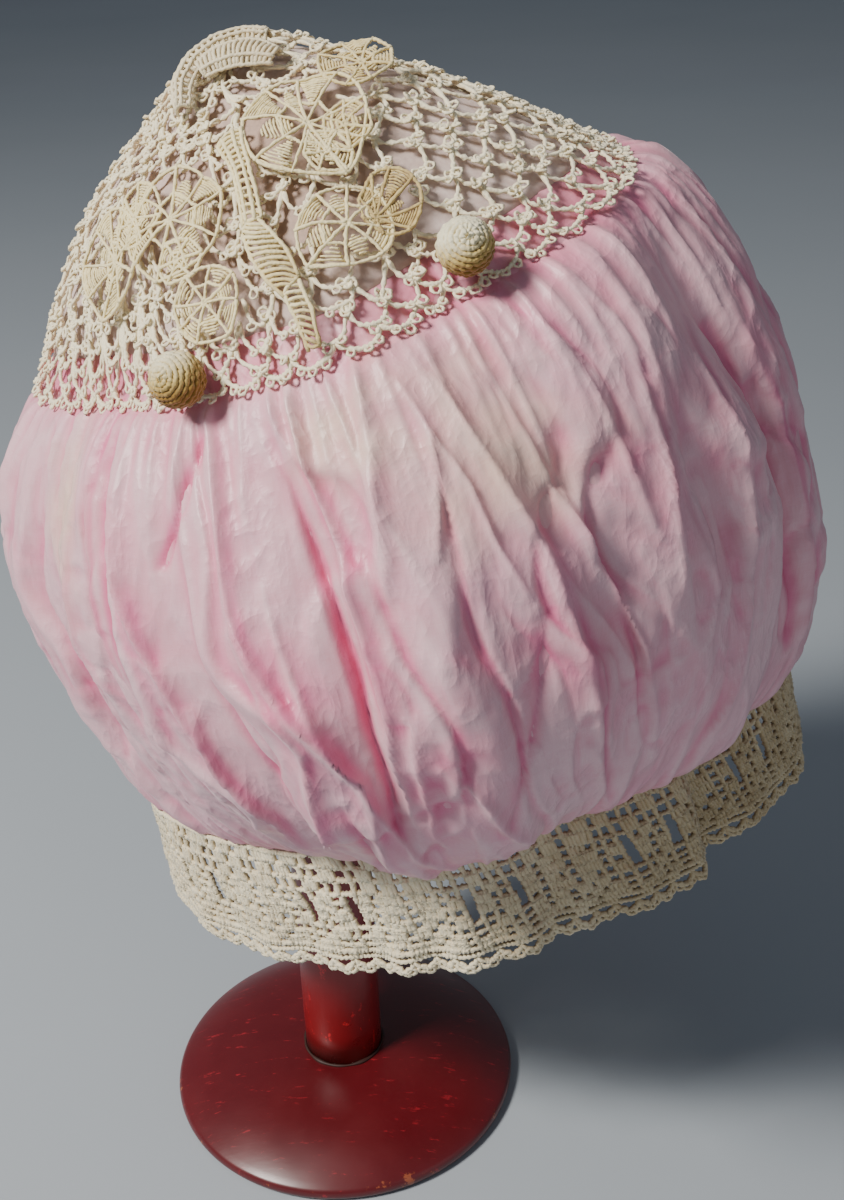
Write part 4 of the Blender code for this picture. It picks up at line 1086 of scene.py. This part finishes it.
def needle_wheel(wheel, seed):
    """Threads of one wheel: a place goes from the hub, at share 0, to the rim, at share 1, along
    straight spokes, and between two spokes it lies on the line that joins them."""
    random = np.random.default_rng(seed)
    count = int(wheel["spokes"])
    spoke = np.radians(wheel["turn"] + (np.arange(count + 1) % count + random.uniform(-0.16, 0.16, count + 1)) * 360 / count)
    spoke[-1] = spoke[0]
    rim = np.stack((np.cos(spoke) * wheel["wide"], np.sin(spoke) * wheel["tall"]), axis=-1)
    rim *= random.uniform(0.88, 1.08, (count + 1, 1))
    rim[-1] = rim[0]
    rim += (wheel["off_x"], wheel["off_y"])
    hub = np.zeros(2)
    seat_point, sideways, rise = wheel_seat(wheel)
    brown = wheel["brown"]

    def web(gap, part, share, bow):
        between = rim[gap] * (1 - part)[..., None] + rim[gap + 1] * part[..., None]
        share = share * (1 + bow * 4 * part * (1 - part))
        return hub + (between - hub) * share[..., None]

    def laid(flat, extra, radius, sides, closed=False):
        spot = seat_point + 0.001 * (flat[..., :1] * sideways + flat[..., 1:] * rise) - crown_centre
        across, along = 1000 * spot @ crown_across, 1000 * spot @ back
        path, square = plan_point(across, along, bow_lift(across, along) + extra)
        stain = brown * (0.75 + 0.5 * random.uniform(0, 1, path.shape[:2]))
        return strands(path, radius, square, sides, closed, stain)

    parts = []
    out = np.linspace(0.0, 1.03, 12)
    flat = hub + (rim[:-1, None] - hub) * out[:, None]
    sway = random.uniform(-0.5, 0.5, (count, 1)) * np.sin(np.pi * out)
    flat = flat + sway[..., None] * np.stack((-np.sin(spoke[:-1]), np.cos(spoke[:-1])), axis=-1)[:, None]
    bobble = random.uniform(0.85, 1.15, (count, 1)) * (1 + 0.16 * np.where(np.arange(12) % 2, 1, -1))
    parts.append(laid(flat, 0.00045, spoke_thread * bobble, 6))
    gaps = np.arange(count)
    for share, bow, radius in ((wheel["inner"], -0.06, 1.0), (1.0, 0.06, 1.05)):
        part = np.linspace(0, 1, 9)[:-1]
        ring = web(gaps[:, None], np.tile(part, (count, 1)), np.full((count, 8), share), bow).reshape(1, -1, 2)
        bobble = 1 + 0.20 * np.where(np.arange(8 * count) % 2, 1, -1) + random.uniform(-0.1, 0.1, 8 * count)
        parts.append(laid(ring, 0.0003, spoke_thread * radius * bobble, 6, True))
    middle = 0.65 * (rim[:-1] + rim[1:]) / 2 + (wheel["hub_x"], wheel["hub_y"])
    covered = np.zeros(count, bool)
    for other in wheels:
        if other["wide"] < 0.85 * wheel["wide"]:
            other_hub = (other["hub_x"] + other["off_x"], other["hub_y"] + other["off_y"])
            covered |= np.linalg.norm(middle - other_hub, axis=1) < 0.9 * other["wide"]
    for gap in gaps[~covered]:
        far = np.linalg.norm((rim[gap] + rim[gap + 1]) / 2 - hub) / 1000
        wide_wedge = gap % 2 == 0 and gap < count - count % 2
        low, high = (wheel["inner"] - 0.02, 0.97) if wide_wedge else (wheel["inner"] - 0.22, wheel["inner"] + 0.26)
        rows = max(4, int((high - low) * far / darn_pitch))
        share = np.linspace(low, high, rows)
        opened = np.linspace(0.0, 1.0, rows) ** 0.7
        petal = 0.5 - (0.05 + 0.44 * opened if wide_wedge else 0.48 * np.sin(np.pi * (0.08 + 0.84 * opened)))
        part = petal[:, None] + (1 - 2 * petal[:, None]) * np.linspace(0, 1, 6)
        flat = web(np.full(part.shape, gap), part, np.tile(share[:, None], (1, 6)), 0.05)
        bulge = 0.00045 * np.sin(np.pi * np.linspace(0, 1, 6)) * np.sin(np.pi * np.linspace(0.1, 0.9, rows))[:, None]
        bulge = bulge + random.uniform(-0.00012, 0.00015, (rows, 1))
        thick = darn_thread * (1 + 0.18 * np.where(np.arange(6) % 2, 1, -1)) * random.uniform(0.85, 1.2, (rows, 1))
        parts.append(laid(flat, bulge, thick, 4))
    knot = hub + 0.75 * np.stack((np.cos(np.arange(8) * np.pi / 4), np.sin(np.arange(8) * np.pi / 4)), axis=-1)
    parts.append(laid(knot[None], 0.0006, 0.0004, 5, True))
    return parts


def ribbed_strip(spine, half, swell, pitch, slant, thread, cords, brown=0.0, base=0.0004):
    """Corded strip in plan: its middle line runs through the spine's points, cross threads lie
    close together from edge to edge, each started ahead of where it ends by the slant, and long
    cords run over them. It stands up by the swell times 1 less the square of the place across."""
    spine = np.asarray(spine, float)
    half = np.asarray(half, float)
    knots = np.linspace(0, 1, len(spine))
    length = np.linalg.norm(np.diff(spine, axis=0), axis=1).sum() / 1000

    def flat_at(way, across):
        way = np.clip(way, 0, 1)
        middle = np.stack((np.interp(way, knots, spine[:, 0]), np.interp(way, knots, spine[:, 1])), axis=-1)
        step = np.stack(
            (
                np.interp(way + 0.06, knots, spine[:, 0]) - np.interp(way - 0.06, knots, spine[:, 0]),
                np.interp(way + 0.06, knots, spine[:, 1]) - np.interp(way - 0.06, knots, spine[:, 1]),
            ),
            axis=-1,
        )
        step /= np.linalg.norm(step, axis=-1, keepdims=True)
        beside = np.stack((-step[..., 1], step[..., 0]), axis=-1)
        return middle + beside * (across * np.interp(way, knots, half))[..., None]

    def laid(way, across, extra, radius, sides):
        flat = flat_at(way, across)
        lift = bow_lift(flat[..., 0], flat[..., 1]) + base + 0.001 * swell * (1 - across**2) + extra
        path, square = plan_point(flat[..., 0], flat[..., 1], lift)
        return strands(path, radius, square, sides, stain=brown * np.clip(way * 1.6 - 0.4, 0, 1))

    rows = max(3, int(length / pitch))
    place = np.linspace(0.0, 1.0, rows)[:, None]
    across = np.linspace(-1, 1, 9)
    cross = laid(place + slant * across, across + 0 * place, 0.0, thread, 5)
    parts = [cross]
    way = np.linspace(0, 1, max(9, 2 * int(length / 0.0016) + 1))
    bobble = 1 + 0.16 * np.where(np.arange(len(way)) % 2, 1, -1)
    for cord_at in cords:
        parts.append(laid(way[None], np.full((1, len(way)), cord_at), 0.0003, 0.00055 * bobble, 6))
    return parts


bow_cotton = cotton("cream_needle_lace_thread", (0.96, 0.84, 0.49, 1.0), (0.66, 0.51, 0.22, 1.0))
for name, cad_node, wing in (("bow_right_wheels", "bow_right", 1), ("bow_left_wheels", "bow_left", 2)):
    parts = []
    for number, wheel in enumerate(wheels):
        if wheel["wing"] == wing:
            parts += needle_wheel(wheel, 100 + number)
    piece = worked(name, *parts)
    piece.data.materials.append(bow_cotton)
    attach(piece, "root")
    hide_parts(cad_node)

knot_parts = ribbed_strip(
    ((0.6, -40.8), (1.0, -44.6), (1.5, -48.6), (1.3, -53.6), (0.6, -58.6)),
    (3.2, 2.3, 2.0, 2.1, 2.4),
    0.9,
    0.00115,
    0.03,
    0.0005,
    (-1.0, -0.45, 0.45, 1.0),
)
tail_parts = ribbed_strip(
    ((-0.4, -58.6), (1.0, -62.6), (3.0, -66.8), (4.6, -70.8)),
    (2.0, 3.0, 3.2, 2.2),
    1.1,
    0.00095,
    0.22,
    0.0005,
    (-1.0, 1.0),
    brown=0.7,
)
tail_parts += ribbed_strip(
    ((4.4, -70.8), (5.2, -75.2), (5.0, -80.0)),
    (1.9, 1.9, 1.3),
    0.9,
    0.0009,
    0.10,
    0.0005,
    (-1.0, 1.0),
    brown=0.9,
)
for name, cad_node, parts in (("bow_knot_cords", "bow_knot", knot_parts), ("bow_tail_cords", "bow_tail", tail_parts)):
    piece = worked(name, *parts)
    piece.data.materials.append(bow_cotton)
    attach(piece, "root")
    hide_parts(cad_node)


# Leaf: a small crochet pad with close ribs, sewn at the top of the crown in front of a second one
# that is rolled into a bead-like edge.

leaf_parts = ribbed_strip(
    ((-3.5, -15.4), (0.5, -14.4), (5.0, -14.2), (9.5, -15.2), (13.0, -17.0)),
    (2.4, 3.6, 3.9, 3.6, 2.2),
    2.2,
    0.0010,
    0.05,
    0.0006,
    (-1.0, -0.6, 0.6, 1.0),
    0.25,
    0.0,
)
leaf_parts += ribbed_strip(
    ((-9.5, -22.0), (-8.4, -16.6), (-4.6, -11.6), (1.0, -9.0), (7.5, -8.6), (12.0, -10.6)),
    (1.8, 2.6, 2.9, 2.6, 2.4, 1.6),
    2.4,
    0.0014,
    0.0,
    0.0006,
    (-1.0, -0.5, 0.0, 0.5, 1.0),
    0.2,
    0.0004,
)
leaf = worked("crown_leaf_ribs", *leaf_parts)
leaf.data.materials.append(cotton("ecru_crochet_leaf", (0.86, 0.76, 0.53, 1.0), (0.46, 0.34, 0.19, 1.0)))
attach(leaf, "root")
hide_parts("crown_leaf")


# Ball buttons: a small stuffed ball covered in close rounds of single crochet, worked as one
# spiral cord. The top is cream. The cord is painted browner towards the lower side turned from the
# window light, as shading, and the left ball is also stained brown all over. The stuffing is
# given full painted shading, so it shows dark between the rounds.

ball_reach = 0.0143 / 2
ball_rounds = 15
for name, cad_node, azimuth, share, worn in (
    ("ball_button_right_knit", "ball_button_right", 303.0, 0.95, 0.0),
    ("ball_button_left_knit", "ball_button_left", 248.0, 0.97, 0.50),
):
    centre, square = crown_frame(azimuth, share)
    centre = centre + square * (lace_lift + lace_wall + joint_gap + ball_reach)
    pole = square
    east = np.cross(pole, back)
    east /= np.linalg.norm(east)
    north = np.cross(pole, east)
    way = np.linspace(0.015, 0.985, 760)
    fall = np.pi * way
    turn = 2 * np.pi * ball_rounds * way
    direction = (
        np.cos(fall)[:, None] * pole
        + (np.sin(fall) * np.cos(turn))[:, None] * east
        + (np.sin(fall) * np.sin(turn))[:, None] * north
    )
    cord = 0.00088
    along = np.cumsum(np.concatenate(((0.0,), np.linalg.norm(np.diff(direction, axis=0), axis=1)))) * ball_reach
    radius = cord * (1 + 0.20 * np.cos(2 * np.pi * along / 0.00125))
    # Painted shading: browner on the side turned down and away from the window light; worn adds real brown staining all
    # over.
    stain_and_painted_shading = np.clip(worn + 0.95 - direction @ np.array((-0.30, -0.25, 0.95)) * 1.25, 0, 1.7)
    path = centre + direction * (ball_reach - 0.00085)
    knit = strands(path[None], radius, direction[None], 6, stain=1.20 * stain_and_painted_shading[None])
    fall = np.linspace(0, np.pi, 18)[1:-1]
    turn = np.arange(28) * 2 * np.pi / 28
    core = centre + (ball_reach - 0.0011) * (
        np.cos(fall)[:, None, None] * pole
        + (np.sin(fall)[:, None] * np.cos(turn))[..., None] * east
        + (np.sin(fall)[:, None] * np.sin(turn))[..., None] * north
    )
    quads = ring_quads(16, 28)
    near, far = np.arange(28), np.arange(28) + 15 * 28
    caps = np.concatenate(
        (
            np.stack((np.full(28, 448), near, np.roll(near, -1)), axis=-1),
            np.stack((np.full(28, 449), np.roll(far, -1), far), axis=-1),
        )
    )
    ends = centre + (ball_reach - 0.0011) * np.stack((pole, -pole))
    # Full painted shading on the core, so it shows dark between the rounds of cord.
    filling = (np.concatenate((core.reshape(-1, 3), ends)), [quads[:, ::-1], caps[:, ::-1]], np.full(450, 1.0))
    ball = worked(name, knit, filling)
    ball.data.materials.append(cotton(name + "_cotton", (0.88, 0.82, 0.58, 1.0), (0.62, 0.46, 0.16, 1.0), (0.30, 0.16, 0.03, 1.0)))
    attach(ball, "root")
    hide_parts(cad_node)


# Band: ecru filet crochet in eleven like panels, each with a pair of upright slots for a ribbon, a
# mesh of square holes with solid blocks between, a row of long gaps and a bumpy picot edge. It is
# sewn to the silk's lower edge, stands free below it and is ruffled by the head it was worn on.

cell = 0.0036
slot_width = 0.0045
block_width = 0.0105
pair_azimuth = 229.0
post_thread = 0.00108
row_thread = 0.00096
# Filet chart of a panel: a row of the band to a line, with S for a slot, # for a solid cell and
# a point for an open one
chart = (
    "#..##..#.#.##.",
    "...#..#.#..#.#",
    ".#....#.#.##..",
    "S.#.S#.##.#...",
    "S#..S#.##.##.#",
    "S#.#S#.#..##..",
    "S..#S..##.#..#",
    "..#..#.#.#.#..",
    ".#...#.#..#.#.",
    "##.#.##.##.##.",
)
cell_widths = (slot_width, 0.0035, 0.0035, 0.0035, slot_width) + (0.0036,) * 9
fine = pair_azimuth + np.linspace(0, 360, 2881)
edge_line = band_point(fine, 0.0)
edge_line = np.concatenate(((0.0,), np.cumsum(np.linalg.norm(np.diff(edge_line, axis=0), axis=1))))
panel_pitch = edge_line[-1] / panels
cell_edges = np.concatenate(((0.0,), np.cumsum(cell_widths)))
cell_edges = (cell_edges - (slot_width * 2 + block_width) / 2)
cell_edges = cell_edges[0] + (cell_edges - cell_edges[0]) * panel_pitch / (cell_edges[-1] - cell_edges[0])
row_falls = np.concatenate((np.linspace(0.0009, 0.0150, 4), np.linspace(0.0150, 0.0285, 5)[1:], (0.0318, 0.0345, 0.0372)))


def band_place(distance, fall, out=0.0):
    """Point of the band at a distance round its edge: the rows lean a little, and a smooth random
    field pulls the meshes out of square."""
    bend = np.stack((np.mod(distance, edge_line[-1]) + 0 * fall, fall + 0 * distance, 0 * fall + 0 * distance), axis=-1)
    pull = rough(bend, 0.011, 111)
    sag = rough(bend, 0.014, 113)
    distance = distance + 0.20 * (fall - 0.022) + 0.0009 * pull
    azimuth = np.interp(np.mod(distance, edge_line[-1]), edge_line, fine)
    low = np.clip(fall / band_height, 0, 1)
    fall = fall + 0.0006 * sag * np.sin(np.pi * low)
    ripple = 0.0005 * rough(bend, 0.008, 117)
    return band_point(azimuth, fall, out + ripple)


def band_out(distance):
    """Direction out of the band at a distance round its edge."""
    azimuth = np.radians(np.interp(np.mod(distance, edge_line[-1]), edge_line, fine))
    return np.cos(azimuth)[..., None] * band_across + np.sin(azimuth)[..., None] * back


random = np.random.default_rng(17)
panel_start = np.arange(panels) * panel_pitch
# Browner towards the right of the band, most at azimuth 350.
browner_to_right = lambda distance: 0.08 + 0.70 * np.clip(np.cos(np.radians(np.interp(np.mod(distance, edge_line[-1]), edge_line, fine) - 350)), 0, 1) ** 0.6
post_tops, post_feet, post_places = [], [], []
for row, line in enumerate(chart):
    for column, mark in enumerate(line):
        left, far = cell_edges[column], cell_edges[column + 1]
        places = [left]
        if mark == "#":
            places += [left + (far - left) * share for share in (0.33, 0.67)]
        for place in places:
            post_places.append(panel_start + place)
            post_tops.append(np.full(panels, row_falls[row]))
            post_feet.append(np.full(panels, row_falls[row + 1]))
post_places, post_tops, post_feet = (np.concatenate(part)[:, None] for part in (post_places, post_tops, post_feet))
post_places = post_places + random.uniform(-0.00025, 0.00025, post_places.shape)
steps = np.linspace(0, 1, 5)
fall = post_tops + (post_feet - post_tops) * steps
path = band_place(post_places + 0 * fall, fall, 0.0001)
thick = post_thread * np.array((1.22, 0.84, 1.10, 0.84, 1.22)) * random.uniform(0.88, 1.12, (len(path), 1))
posts = worked(
    "lace_band_posts",
    strands(path, thick, band_out(post_places + 0 * fall), 5, stain=browner_to_right(post_places) + random.uniform(0, 0.15, (len(path), 5))),
)

row_parts = []
for row, fall in enumerate(row_falls):
    across_slots = 4 <= row <= 6
    if across_slots:
        spans = ((cell_edges[1], cell_edges[4]), (cell_edges[5], cell_edges[14]))
    else:
        spans = ((cell_edges[0], cell_edges[14]),)
    for low, high in spans:
        count = 2 * int(round((high - low) / 0.00125 )) + 1
        distance = panel_start[:, None] + np.linspace(low, high, count)
        bobble = 1 + 0.27 * np.where(np.arange(count) % 2, 1, -1) + random.uniform(-0.14, 0.14, (panels, count))
        drop = fall + 0 * distance
        row_parts.append(
            strands(
                band_place(distance, drop, 0.0001),
                row_thread * bobble * (1.25 if row in (0, 10) else 1.0),
                band_out(distance),
                5,
                stain=browner_to_right(distance) + random.uniform(0, 0.12, distance.shape),
            )
        )
rows = worked("lace_band_rows", *row_parts)

edge_parts = []
gap_posts = np.array([0.0, 0.0013, 0.0026])
dash_pitch = panel_pitch / 5
distance = (np.arange(5 * panels)[:, None] * dash_pitch + gap_posts).reshape(-1, 1) + 0 * steps
fall = 0.0372 + (0.0398 - 0.0372) * steps + 0 * distance
edge_parts.append(strands(band_place(distance, fall), 0.00085, band_out(distance), 5, stain=browner_to_right(distance)))
count = 2 * int(round(edge_line[-1] / 0.0013))
distance = np.linspace(0, edge_line[-1], count + 1)[None, :-1]
for fall, radius in ((0.0398, 0.00092),):
    bobble = 1 + 0.22 * np.where(np.arange(count) % 2, 1, -1)
    edge_parts.append(
        strands(band_place(distance, fall + 0 * distance), radius * bobble, band_out(distance), 5, True, browner_to_right(distance))
    )
scallops = 8 * panels
scallop_pitch = edge_line[-1] / scallops
steps = np.linspace(0, 1, 11)
distance = (np.arange(scallops)[:, None] + steps) * scallop_pitch
fall = 0.0405 + 0.0036 * np.sin(np.pi * steps) ** 0.7 + 0 * distance
bobble = 1 + 0.25 * np.where(np.arange(11) % 2, 1, -1)
edge_parts.append(strands(band_place(distance, fall), 0.00078 * bobble, band_out(distance), 5, stain=browner_to_right(distance)))
bend = np.arange(8) * 2 * np.pi / 8
for at in (0.22, 0.5, 0.78):
    place = (np.arange(scallops)[:, None] + at) * scallop_pitch
    size = 0.00120 * random.uniform(0.80, 1.20, (scallops, 1))
    distance = place + size * np.cos(bend)
    fall = 0.0405 + 0.0036 * math.sin(math.pi * at) ** 0.7 + size * (0.5 + np.sin(bend))
    loop = band_place(distance, fall, 0.0004 * random.uniform(-1, 1, (scallops, 1)) * np.sin(bend))
    edge_parts.append(strands(loop, 0.00072, band_out(distance), 5, True, browner_to_right(distance)))
band_edge_piece = worked("lace_band_edge", *edge_parts)
band_cotton = cotton("ecru_crochet_cotton", (0.90, 0.80, 0.57, 1.0), (0.54, 0.42, 0.24, 1.0), (0.30, 0.19, 0.09, 1.0))
for piece in (posts, rows, band_edge_piece):
    piece.data.materials.append(band_cotton)
    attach(piece, "root")
    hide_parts("lace_band")
